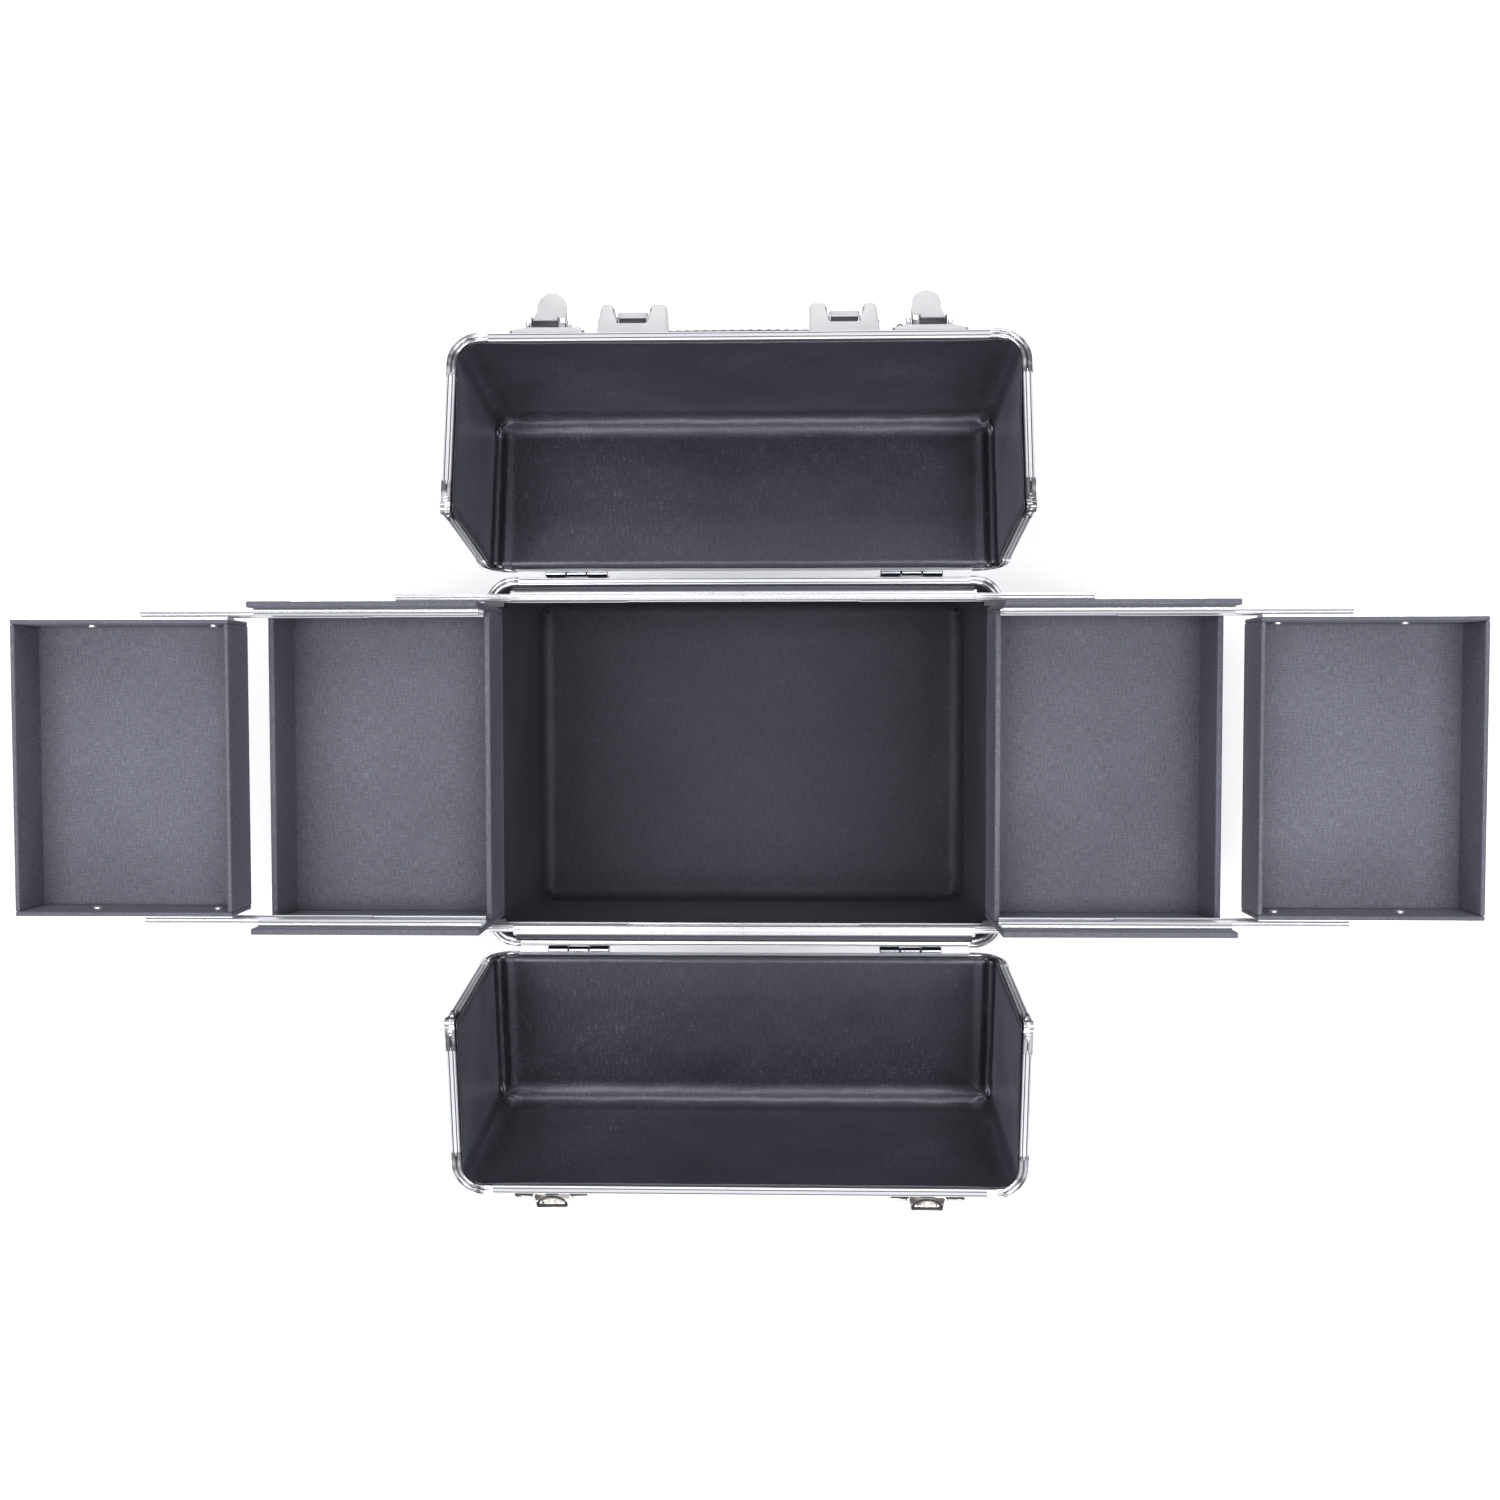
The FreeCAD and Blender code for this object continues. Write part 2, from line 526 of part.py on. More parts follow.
def hinges():
    """Three-knuckle butt hinges: two knuckles on the case, one on the lid, a loose pin through."""
    case_leaves = []
    pins = []
    lid_leaves = {1: [], -1: []}
    hinge_y = "half_depth + hinge_offset"
    pitch = "knuckle_long + knuckle_gap"
    for side in (1, -1):
        leaf_y = flip(side, "%s - knuckle_radius" % hinge_y, "%s - knuckle_radius + leaf_thick" % hinge_y)
        leaf_a = ("knuckle_radius - leaf_thick", "knuckle_radius")
        for end in (1, -1):
            for shift in (-1, 1):
                start = "%d * hinge_x + %d * (%s) - 0.5 * knuckle_long" % (end, shift, pitch)
                barrel = rod("knuckle_radius", "knuckle_long", ALONG_X, start,
                             "%d * (%s)" % (side, hinge_y), "rim_height")
                bore = rod("knuckle_bore", "knuckle_long", ALONG_X, start,
                           "%d * (%s)" % (side, hinge_y), "rim_height")
                leaf = box((start, "%s + knuckle_long" % start), leaf_y,
                           ("rim_height - leaf_long", "rim_height"))
                case_leaves.append(cut(fuse([barrel, leaf]), bore))
            start = "%d * hinge_x - 0.5 * knuckle_long" % end
            barrel = rod("knuckle_radius", "knuckle_long", ALONG_X, start, "0", "0")
            bore = rod("knuckle_bore", "knuckle_long", ALONG_X, start, "0", "0")
            leaf = lid_box(side, (start, "%s + knuckle_long" % start), leaf_a, ("0", "leaf_long"))
            lid_leaves[side].append(cut(fuse([barrel, leaf]), bore))
            pin_start = "%d * hinge_x - 1.5 * knuckle_long - knuckle_gap" % end
            pins.append(rod("hinge_pin", "3 * knuckle_long + 2 * knuckle_gap", ALONG_X, pin_start,
                            "%d * (%s)" % (side, hinge_y), "rim_height"))
    group("case_hinge_leaves", case_leaves)
    group("hinge_pins", pins)
    for word, side in LID_SIDES:
        lid_group(side, word + "_lid_hinge_leaves", lid_leaves[side])


# ---------------------------------------------------------------- handle

def lid_point(a, b):
    """World Y and Z of a point of the opened back lid, as expressions."""
    y = "half_depth + hinge_offset - (%s) * cos(back_angle) + (%s) * sin(back_angle)" % (a, b)
    z = "rim_height + (%s) * sin(back_angle) + (%s) * cos(back_angle)" % (a, b)
    return y, z


def handle():
    """Forked brackets on the back lid's top; links and grip hang straight down from the pins."""
    brackets = []
    pins = []
    links = []
    pin_y, pin_z = lid_point("handle_a", "handle_b")
    for end in (1, -1):
        middle = "%d * bracket_x" % end
        base = lid_box(1, ("%s - bracket_half" % middle, "%s + bracket_half" % middle),
                       ("handle_a - bracket_foot", "handle_a + bracket_foot"),
                       ("lid_top", "lid_top + bracket_base"))
        shim = lid_box(1, ("%s - bracket_half" % middle, "%s + bracket_half" % middle),
                       ("handle_a - bracket_foot", "%s - rail_leg" % SEAM),
                       ("lid_top - panel_inset", "lid_top + bracket_base"))
        parts = [base, shim]
        for ear in (1, -1):
            ear_x = ("%s + %d * %s" % (middle, ear, "fork_gap" if ear > 0 else "fork_half"),
                     "%s + %d * %s" % (middle, ear, "fork_half" if ear > 0 else "fork_gap"))
            parts.append(lid_box(1, ear_x, ("handle_a - ear_radius", "handle_a + ear_radius"),
                                 ("lid_top", "handle_b")))
            parts.append(rod("ear_radius", "fork_half - fork_gap", ALONG_X, ear_x[0], "-handle_a",
                             "handle_b"))
        bore = rod("handle_bore", "2 * bracket_half", ALONG_X, "%s - bracket_half" % middle,
                   "-handle_a", "handle_b")
        brackets.append(cut(fuse(parts), bore))
        pins.append(rod("handle_pin", "2 * fork_half", ALONG_X, "%s - fork_half" % middle,
                        "-handle_a", "handle_b"))
        eye = rod("link_eye", "2 * link_half", ALONG_X, "%s - link_half" % middle, "0", "0")
        arm = box(("%s - link_half" % middle, "%s + link_half" % middle),
                  ("-0.5 * link_thick", "0.5 * link_thick"), ("-link_drop", "0"))
        hole = rod("handle_bore", "2 * link_half", ALONG_X, "%s - link_half" % middle, "0", "0")
        core = rod("grip_radius + grip_gap", "4 * link_half", ALONG_X, "%s - 2 * link_half" % middle,
                   "0", "-link_drop")
        links.append(cut(cut(fuse([eye, arm]), hole), core))
    lid_group(1, "back_lid_handle_brackets", brackets + pins)
    link_node = group("handle_links", links)
    grip_node = group("handle_grip",
                      [rod("grip_radius", "2 * grip_half", ALONG_X, "-grip_half", "0", "-link_drop")])
    for thing in (link_node, grip_node):
        place(thing, FreeCAD.Rotation(), "0", pin_y, pin_z)


# ---------------------------------------------------------------- latches

PLATE_A = ("%s - latch_plate_far" % SEAM, "%s - latch_plate_near" % SEAM)
CHEEK_OUT = "lever_half + cheek_gap + cheek_thick"


def latches():
    """Levers on the back lid, standing open, and the catches that they would pull on."""
    plates = []
    pins = []
    lever_y, lever_z = lid_point("lever_a", "lever_b")
    tilt = FreeCAD.Rotation(FreeCAD.Vector(-1, 0, 0), dim("back_angle"))
    for end, word in ((-1, "left"), (1, "right")):
        middle = "%d * latch_x" % end
        parts = [lid_box(1, ("%s - latch_plate_half" % middle, "%s + latch_plate_half" % middle),
                         PLATE_A, ("lid_top", "lid_top + latch_plate_thick"))]
        for cheek in (1, -1):
            inner = "%s + %d * (lever_half + cheek_gap)" % (middle, cheek)
            outer = "%s + %d * (%s)" % (middle, cheek, CHEEK_OUT)
            cheek_x = (inner, outer) if cheek > 0 else (outer, inner)
            parts.append(lid_box(1, cheek_x, ("lever_a - cheek_half", "lever_a + cheek_half"),
                                 ("lid_top", "lever_b + cheek_above")))
        hole = rod("latch_bore", "4 * lever_half", ALONG_X, "%s - 2 * lever_half" % middle,
                   "-lever_a", "lever_b")
        plates.append(cut(fuse(parts), hole))
        pins.append(rod("latch_pin", "2 * (%s)" % CHEEK_OUT, ALONG_X, "%s - (%s)" % (middle, CHEEK_OUT),
                        "-lever_a", "lever_b"))
        width = ("%s - lever_half" % middle, "%s + lever_half" % middle)
        eye = rod("lever_eye", "2 * lever_half", ALONG_X, width[0], "0", "0")
        blade = box(width, ("-0.5 * lever_thick", "0.5 * lever_thick"), ("0", "lever_long - lever_half"))
        tip = rod("lever_half", "lever_thick", turn_to((1, 0, 0), (0, 1, 0)), middle,
                  "-0.5 * lever_thick", "lever_long - lever_half")
        bore = rod("latch_bore", "2 * lever_half", ALONG_X, width[0], "0", "0")
        lever = cut(fuse([eye, blade, tip]), bore)
        node(lever, word + "_latch_lever")
        place(lever, tilt, "0", lever_y, lever_z)
        bind(lever, "Placement.Rotation.Angle", "back_angle")
    lid_group(1, "back_lid_latch_plates", plates + pins)
    catches = []
    for end in (1, -1):
        middle = "%d * catch_x" % end
        plate = lid_box(-1, ("%s - latch_plate_half" % middle, "%s + latch_plate_half" % middle),
                        PLATE_A, ("lid_top", "lid_top + catch_plate_thick"))
        drum = rod("catch_radius", "latch_plate_far - latch_plate_near",
                   turn_to((1, 0, 0), (0, 1, 0)), middle, PLATE_A[0], "lid_top")
        keep = box(("%s - catch_radius" % middle, "%s + catch_radius" % middle),
                   PLATE_A, ("lid_top", "lid_top + catch_radius"))
        common = doc.addObject("Part::Common", "Catch")
        common.Base = drum
        common.Tool = keep
        catches.append(fuse([plate, common]))
    lid_group(-1, "front_lid_catches", catches)


# ---------------------------------------------------------------- build and write

bottom_panel()
case_panels()
case_frame()
case_inside()
slides()
trays()
lids()
hinges()
handle()
latches()
doc.recompute()

failed = [thing.Name for thing in doc.Objects if {"Invalid", "Error"} & set(thing.State)]
if failed:
    raise SystemExit("failed to compute: " + ", ".join(failed))
for thing in NODES:
    shape = thing.Shape
    if shape.isNull() or not shape.isValid() or not shape.Solids:
        raise SystemExit("bad shape: " + thing.Label)

os.makedirs("parts", exist_ok=True)
for thing in NODES:
    thing.Shape.exportStep("parts/%s.step" % thing.Label)
print(len(NODES), "nodes written")
for thing in NODES:
    extent = thing.Shape.BoundBox
    print("%-28s solids %2d volume %9.0f  x %7.1f %7.1f  y %7.1f %7.1f  z %6.1f %6.1f" % (
        thing.Label, len(thing.Shape.Solids), thing.Shape.Volume, extent.XMin, extent.XMax,
        extent.YMin, extent.YMax, extent.ZMin, extent.ZMax))
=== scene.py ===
import math

import bmesh
import bpy
from mathutils import Matrix, Vector, noise


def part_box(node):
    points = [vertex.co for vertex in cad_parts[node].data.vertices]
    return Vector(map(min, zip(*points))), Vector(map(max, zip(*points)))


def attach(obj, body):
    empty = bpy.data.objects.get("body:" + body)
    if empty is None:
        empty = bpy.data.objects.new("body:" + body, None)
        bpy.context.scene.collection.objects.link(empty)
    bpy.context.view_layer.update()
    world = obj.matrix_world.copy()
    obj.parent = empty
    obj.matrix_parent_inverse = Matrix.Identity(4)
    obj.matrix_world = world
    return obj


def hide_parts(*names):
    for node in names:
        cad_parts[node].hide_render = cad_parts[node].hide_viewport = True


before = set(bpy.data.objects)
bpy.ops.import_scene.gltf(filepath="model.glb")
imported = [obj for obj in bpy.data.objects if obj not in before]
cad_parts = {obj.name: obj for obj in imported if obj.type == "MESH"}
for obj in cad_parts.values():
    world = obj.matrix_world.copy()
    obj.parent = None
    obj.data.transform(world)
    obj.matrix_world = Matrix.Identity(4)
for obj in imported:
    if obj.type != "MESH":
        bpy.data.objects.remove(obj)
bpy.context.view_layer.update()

# The looks of a two-lid makeup train case, standing open. Lengths are in millimetres and
# are turned into metres when a mesh is made. Lid pieces are written in the lid's own
# measure (x, a, b): x along the case, a from the hinge axis towards the seam where the two
# lids meet, b above the hinge axis, all as the lid stands when it is closed.

MM = 0.001

# ------------------------ driving dimensions

HALF_X, HALF_Y, RIM_Z = [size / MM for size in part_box("case_rim_rails")[1]]
BASE_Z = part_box("case_base_rails")[0][2] / MM
CORNER = 20.0
SHELL = 5.5
STRAIGHT_X = HALF_X - CORNER
STRAIGHT_Y = HALF_Y - CORNER
RUN_X = 157.0
RUN_Y = 106.0
FOOT_X = 150.0
FOOT_Y = 100.0
X_DIR = Vector((1, 0, 0))
Y_DIR = Vector((0, 1, 0))
Z_DIR = Vector((0, 0, 1))
HINGE_GAP = 2.5
HINGE_Y = HALF_Y + HINGE_GAP
HINGE_X = 116.0
HINGE_SPAN = 6.0
KNUCKLE_LONG = 14.4
LID_TOP = 116.0
SEAM = HINGE_Y - 0.3
LID_LOW = 0.3
LID_ANGLE = {1: math.radians(101.8), -1: math.radians(99.1)}
LIDS = (("back", 1), ("front", -1))
ENDS = (("left", -1), ("right", 1))
LOW_WALL = 4.0
UP_WALL = 3.0
CLOTH_EDGE = 1.1
BRACKET_X = 66.0
HANDLE_A = 120.0
HANDLE_B = 127.0
EAR = 8.5
HANDLE_DROP = 55.0
LATCH_X = 118.5
LEVER_A = 123.0
LEVER_B = 123.2
CATCH_X = 118.0
PLATE_LOW_A = SEAM - 13.0
PLATE_HIGH_A = SEAM - 1.0
WORLD_STRENGTH = 0.7
SIDE_WATTS = 24.0
LONG_WATTS = 26.0


# ------------------------ places in a lid

def lid_point(side, v):
    """A point in the lid's measure, as a world point in millimetres."""
    x, a, b = v
    angle = LID_ANGLE[side]
    y = -a * math.cos(angle) + b * math.sin(angle)
    z = a * math.sin(angle) + b * math.cos(angle)
    return Vector((x, side * y, z)) + Vector((0, side * HINGE_Y, RIM_Z))


# ------------------------ materials

def fill_ramp(node, stops):
    """Set a ramp's (place, colour) stops; a plain number is a grey."""
    points = node.color_ramp.elements
    while len(points) < len(stops):
        points.new(0.5)
    for point, (place, colour) in zip(points, stops):
        grey = not isinstance(colour, tuple)
        point.position = place
        point.color = (colour, colour, colour, 1.0) if grey else (*colour, 1.0)


class Nodes:
    """A small wrapper that adds shader nodes and links them."""

    def __init__(self, name):
        self.material = bpy.data.materials.new(name)
        self.material.use_nodes = True
        self.tree = self.material.node_tree
        self.shader = self.tree.nodes["Principled BSDF"]

    def add(self, kind, inputs=None, **settings):
        node = self.tree.nodes.new(kind)
        for key, value in settings.items():
            setattr(node, key, value)
        for key, value in (inputs or {}).items():
            if isinstance(value, bpy.types.NodeSocket):
                self.tree.links.new(value, node.inputs[key])
            else:
                node.inputs[key].default_value = value
        return node

    def set(self, **values):
        for key, value in values.items():
            socket = self.shader.inputs[key.replace("_", " ")]
            if isinstance(value, bpy.types.NodeSocket):
                self.tree.links.new(value, socket)
            else:
                socket.default_value = value

    def coords(self, scale, turn=0.0, uv=False):
        """Mapped coordinates: scale is repeats per metre, one number or one for each axis."""
        scale = scale if isinstance(scale, tuple) else (scale,) * 3
        source = self.add("ShaderNodeTexCoord").outputs["UV" if uv else "Object"]
        return self.add("ShaderNodeMapping", {"Vector": source, "Rotation": (turn, 0, 0),
                                              "Scale": scale}).outputs["Vector"]

    def noise(self, vector, scale=1.0, detail=3.0, roughness=0.55):
        return self.add("ShaderNodeTexNoise", {"Vector": vector, "Scale": scale, "Detail": detail,
                                               "Roughness": roughness}).outputs["Fac"]

    def ramp(self, factor, stops):
        """Colours at places along a factor."""
        node = self.add("ShaderNodeValToRGB", {"Fac": factor})
        fill_ramp(node, stops)
        return node.outputs["Color"]

    def math(self, operation, first, second):
        return self.add("ShaderNodeMath", {0: first, 1: second}, operation=operation).outputs[0]

    def place(self, axis, span_mm):
        """Distance from the case's middle along one axis, as a share of span_mm."""
        source = self.add("ShaderNodeTexCoord").outputs["Object"]
        part = self.add("ShaderNodeSeparateXYZ", {"Vector": source}).outputs[axis]
        return self.math("MULTIPLY", self.math("ABSOLUTE", part, 0.0), 1.0 / (span_mm * MM))

    def bump(self, height, strength, distance_mm):
        return self.add("ShaderNodeBump", {"Height": height, "Strength": strength,
                                           "Distance": distance_mm * MM}).outputs["Normal"]


def cloth(name, dark, light, fleck, thread_mm, weft_share, rough, gloss, sheen=0.08,
          cloudy=0.26, uv=True):
    """Woven cloth: two sets of uneven threads, light flecks, and faint cloudy shading."""
    n = Nodes(name)
    per_metre = 1.0 / (thread_mm * MM)
    warp = n.noise(n.coords((per_metre, per_metre * 0.12, per_metre * 0.12), uv=uv), detail=2.0)
    weft = n.noise(n.coords((per_metre * 0.12, per_metre, per_metre), uv=uv), detail=2.0)
    cloud = n.noise(n.coords(9.0, uv=uv), detail=3.0)
    speck = n.noise(n.coords(per_metre * 1.1, uv=uv), detail=1.0)
    flecks = n.ramp(speck, [(0.60, 0.0), (0.72, 1.0)])
    weft = n.math("MULTIPLY", weft, weft_share)
    threads = n.math("MULTIPLY", n.math("ADD", warp, weft), 0.8 / (1.0 + weft_share))
    mixed = n.math("ADD", threads, n.math("MULTIPLY", speck, 0.2))
    mixed = n.math("ADD", mixed, n.math("MULTIPLY", flecks, 0.12))
    mixed = n.math("ADD", mixed, n.math("MULTIPLY", n.math("SUBTRACT", cloud, 0.5), cloudy))
    n.set(Base_Color=n.ramp(mixed, [(0.34, dark), (0.61, light), (0.76, fleck)]))
    n.set(Roughness=rough, Sheen_Weight=sheen, Sheen_Roughness=0.35, Specular_IOR_Level=gloss)
    n.set(Sheen_Tint=(0.8, 0.82, 1.0, 1.0), Specular_Tint=(0.84, 0.85, 1.0, 1.0))
    n.set(Normal=n.bump(threads, 0.55, 0.35))
    return n.material


def brushed(name, colour, rough, along, turn=0.0, fine=1.0, metal=0.6):
    """Metal with hair lines that run along one axis (0, 1 or 2)."""
    n = Nodes(name)
    scale = [900.0 * fine] * 3
    scale[along] = 12.0
    lines = n.noise(n.coords(tuple(scale), turn), detail=2.0)
    patch = n.noise(n.coords(9.0, turn), detail=2.0)
    blend = n.math("ADD", n.math("MULTIPLY", lines, 0.75), n.math("MULTIPLY", patch, 0.25))
    darker = tuple(c * 0.95 for c in colour)
    n.set(Base_Color=n.ramp(blend, [(0.3, darker), (0.7, colour)]))
    low, high = rough * 0.92, min(1.0, rough * 1.1)
    n.set(Roughness=n.ramp(blend, [(0.3, low), (0.7, high)]))
    n.set(Metallic=metal, Normal=n.bump(lines, 0.02, 0.02))
    return n.material


def polished(name, colour, painted_reflection_dimmest, rough):
    """Plated metal: clear reflections, with darker streaks painted into the colour as painted dark
    reflections, and tiny pits.
    """
    n = Nodes(name)
    painted_reflection_streaks = n.noise(n.coords(95.0), detail=1.0)
    pits = n.noise(n.coords(700.0), detail=1.0)
    darker = tuple(c * painted_reflection_dimmest for c in colour)
    # Darker streaks in the colour: painted dark reflections.
    n.set(Base_Color=n.ramp(painted_reflection_streaks, [(0.38, darker), (0.54, colour)]))
    n.set(Roughness=n.ramp(painted_reflection_streaks, [(0.35, rough * 0.7), (0.75, rough * 1.9)]))
    n.set(Metallic=1.0, Normal=n.bump(pits, 0.05, 0.05))
    return n.material


def hinge_steel_painted_shade():
    """Plated hinge: chrome along the top of the barrel, with near-black painted shade down its
    sides and in the gaps between its knuckles.
    """
    n = Nodes("hinge_steel_painted_shade")
    bright = (0.80, 0.82, 0.90)
    shade = (0.015, 0.018, 0.035)
    pitch = KNUCKLE_LONG / 2.0
    off_axis = n.math("SUBTRACT", n.place("Y", HINGE_SPAN), HINGE_Y / HINGE_SPAN)
    side = n.math("ABSOLUTE", off_axis, 0.0)
    along = n.math("SUBTRACT", n.place("X", pitch), (HINGE_X - 1.5 * KNUCKLE_LONG) / pitch)
    gap = n.math("PINGPONG", along, 1.0)
    # Painted shade in the gaps between the knuckles.
    lines = n.ramp(gap, [(0.08, 0.35), (0.13, 0.0)])
    mixed = n.math("MAXIMUM", side, lines)
    # Near-black painted shade down the barrel's sides and in the knuckle gaps; chrome only along
    # its top.
    n.set(Base_Color=n.ramp(mixed, [(0.10, bright), (0.24, shade), (0.55, shade), (0.66, bright)]))
    n.set(Metallic=1.0, Roughness=0.12)
    return n.material


def steel_with_painted_shade_end(name, reach_mm, colour, cap):
    """Slide steel whose inner end, up to reach_mm from the middle, is painted near-black and not
    metallic: painted shade.
    """
    n = Nodes(name)
    lines = n.noise(n.coords((12.0, 1260.0, 1260.0)), detail=2.0)
    away = n.place("X", 2.0 * reach_mm)
    mixed = n.math("ADD", away, n.math("MULTIPLY", lines, 0.002))
    # The near-black colour at the inner end is painted shade.
    n.set(Base_Color=n.ramp(mixed, [(0.499, cap), (0.503, colour)]))
    n.set(Metallic=n.ramp(mixed, [(0.499, 0.0), (0.503, 0.75)]), Roughness=0.3)
    n.set(Normal=n.bump(lines, 0.02, 0.02))
    return n.material


def painted(name, colour, rough, grain_mm=0.5, strength=0.12):
    """Paint or moulded plastic: a fine orange peel and slightly uneven gloss."""
    n = Nodes(name)
    peel = n.noise(n.coords(1.0 / (grain_mm * MM)), detail=2.0)
    wear = n.noise(n.coords(60.0), detail=5.0)
    darker = tuple(c * 0.9 for c in colour)
    n.set(Base_Color=n.ramp(wear, [(0.25, darker), (0.7, colour)]))
    n.set(Roughness=n.ramp(wear, [(0.3, rough * 0.85), (0.7, min(1, rough * 1.2))]))
    n.set(Normal=n.bump(peel, strength, 0.15))
    return n.material


def embossed(name, colour, turn):
    """Silver laminate with a raised diamond grid."""
    n = Nodes(name)
    place = n.coords(1.0, turn)
    parts = n.add("ShaderNodeSeparateXYZ", {"Vector": place})
    across = n.math("ADD", parts.outputs["Y"], parts.outputs["Z"])
    pitch = 2 * math.pi / (6.0 * MM)
    rising = n.math("ADD", parts.outputs["X"], across)
    falling = n.math("SUBTRACT", parts.outputs["X"], across)
    first = n.math("ABSOLUTE", n.math("SINE", n.math("MULTIPLY", rising, pitch / 2), 0.0), 0.0)
    second = n.math("ABSOLUTE", n.math("SINE", n.math("MULTIPLY", falling, pitch / 2), 0.0), 0.0)
    height = n.math("MINIMUM", n.math("MINIMUM", first, second), 0.5)
    grain = n.noise(n.coords(500.0, turn), detail=2.0)
    shade = n.math("ADD", n.math("MULTIPLY", height, 0.9), n.math("MULTIPLY", grain, 0.3))
    darker = tuple(c * 0.7 for c in colour)
    n.set(Base_Color=n.ramp(shade, [(0.1, darker), (0.6, colour)]))
    n.set(Roughness=n.ramp(grain, [(0.3, 0.3), (0.7, 0.42)]))
    n.set(Metallic=0.75, Normal=n.bump(height, 0.6, 0.5))
    return n.material


def pale_floor():
    """Plain matt paper, very slightly uneven in tone."""
    n = Nodes("pale_floor")
    cloud = n.noise(n.coords(3.0))
    n.set(Base_Color=n.ramp(cloud, [(0.3, 0.93), (0.7, 0.95)]))
    n.set(Roughness=0.8, Specular_IOR_Level=0.1)
    return n.material


SATIN_NAVY = cloth("satin_navy", (0.0035, 0.0037, 0.0055), (0.018, 0.0182, 0.0245),
                   (0.11, 0.11, 0.135), 1.0, 0.5, 0.34, 0.84, sheen=0.17, cloudy=0.42)
SLATE_CLOTH = cloth("slate_cloth", (0.060, 0.061, 0.076), (0.120, 0.121, 0.147),
                    (0.22, 0.22, 0.25), 0.8, 0.8, 0.6, 0.4)
SLATE_FLAT = cloth("slate_flat", (0.018, 0.0185, 0.024), (0.040, 0.0405, 0.052),
                   (0.09, 0.09, 0.11), 0.8, 0.8, 0.55, 0.4)
STEEL_COLOUR = (0.76, 0.77, 0.80)
CHROME_COLOUR = (0.90, 0.90, 0.93)
PANEL_COLOUR = (0.62, 0.63, 0.66)
RAIL_COLOUR = (0.64, 0.65, 0.68)
RAIL_X = brushed("rail_along_x", RAIL_COLOUR, 0.3, 0)
RAIL_UP = brushed("rail_upright", RAIL_COLOUR, 0.3, 2)
RAIL_LID = {side: brushed("rail_lid_%s" % word, RAIL_COLOUR, 0.3, 0) for word, side in LIDS}
SLIDE_STEEL = brushed("slide_steel", STEEL_COLOUR, 0.22, 0, fine=1.4, metal=0.75)
# Chrome, strap chrome and nickel carry painted dark reflections as darker streaks in their colour.
CHROME = polished("chrome", CHROME_COLOUR, 0.3, 0.06)
STRAP_CHROME = polished("strap_chrome", CHROME_COLOUR, 0.62, 0.08)
HINGE_STEEL_PAINTED_SHADE = hinge_steel_painted_shade()
# The strips' inner ends are painted near-black: painted shade.
STRIP_STEEL = steel_with_painted_shade_end("strip_steel", 178.0, STEEL_COLOUR, (0.02, 0.02, 0.03))
NICKEL = polished("nickel", (0.66, 0.62, 0.57), 0.3, 0.12)
GREY_PAINT = painted("grey_paint", (0.44, 0.44, 0.45), 0.34)
# Near-black painted shade, for the bottoms of grooves, slots, gaps and recesses.
PAINTED_SHADE_DARK = painted("painted_shade_dark", (0.012, 0.012, 0.018), 0.4)
RUBBER = painted("foot_rubber", (0.025, 0.025, 0.027), 0.75, 0.8, 0.3)
GRIP = painted("grip_plastic", (0.035, 0.035, 0.04), 0.5, 0.9, 0.5)
PANEL = embossed("case_panel", PANEL_COLOUR, 0.0)
PANEL_LID = {side: embossed("panel_%s_lid" % word, PANEL_COLOUR, side * LID_ANGLE[side])
             for word, side in LIDS}


# ------------------------ mesh helpers

def box_uv(mesh, local):
    """Cube-projected UVs in metres from each vertex's own place."""
    layer = mesh.uv_layers.new(name="UVMap")
    for face in mesh.polygons:
        points = [local[i] for i in face.vertices]
        normal = (points[1] - points[0]).cross(points[-1] - points[0])
        drop = max(range(3), key=lambda k: abs(normal[k]))
        first, second = [k for k in range(3) if k != drop]
        for loop in face.loop_indices:
            point = local[mesh.loops[loop].vertex_index]
            layer.data[loop].uv = (point[first] * MM, point[second] * MM)


def piece(name, bm, material, body, replaces=(), place=None, smooth=40, turn=True):
    """Turn a bmesh in millimetres into a riding piece. place maps own points to world points."""
    if turn:
        bmesh.ops.recalc_face_normals(bm, faces=bm.faces)
    mesh = bpy.data.meshes.new(name)
    bm.to_mesh(mesh)
    bm.free()
    local = [v.co.copy() for v in mesh.vertices]
    box_uv(mesh, local)
    for vertex, point in zip(mesh.vertices, local):
        vertex.co = (place(point) if place else point) * MM
    if place:
        axes = [place(d) - place(Vector()) for d in (X_DIR, Y_DIR, Z_DIR)]
        if axes[0].cross(axes[1]).dot(axes[2]) < 0:
            mesh.flip_normals()
    mesh.materials.append(material)
    mesh.shade_smooth()
    mesh.set_sharp_from_angle(angle=math.radians(smooth))
    thing = bpy.data.objects.new(name, mesh)
    bpy.context.collection.objects.link(thing)
    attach(thing, body)
    if replaces:
        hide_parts(*replaces)
    return thing


def cad_box(node):
    """Low and high corners of a CAD piece, in millimetres."""
    return [Vector(corner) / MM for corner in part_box(node)]


def add_box(bm, low, high, radius=0.0, segments=2):
    """A box with rounded edges."""
    made = bmesh.ops.create_cube(bm, size=1.0)["verts"]
    for vertex in made:
        vertex.co = Vector([l + (c + 0.5) * (h - l) for c, l, h in zip(vertex.co, low, high)])
    if radius:
        own = set(made)
        picked = [e for e in bm.edges if set(e.verts) <= own]
        bmesh.ops.bevel(bm, geom=picked, offset=radius, segments=segments, profile=0.5,
                        affect="EDGES", clamp_overlap=True)


def add_block(bm, x, half, low, high, radius, segments=2):
    """A rounded box centred on x; low and high are its other two coordinates."""
    add_box(bm, (x - half, *low), (x + half, *high), radius, segments)


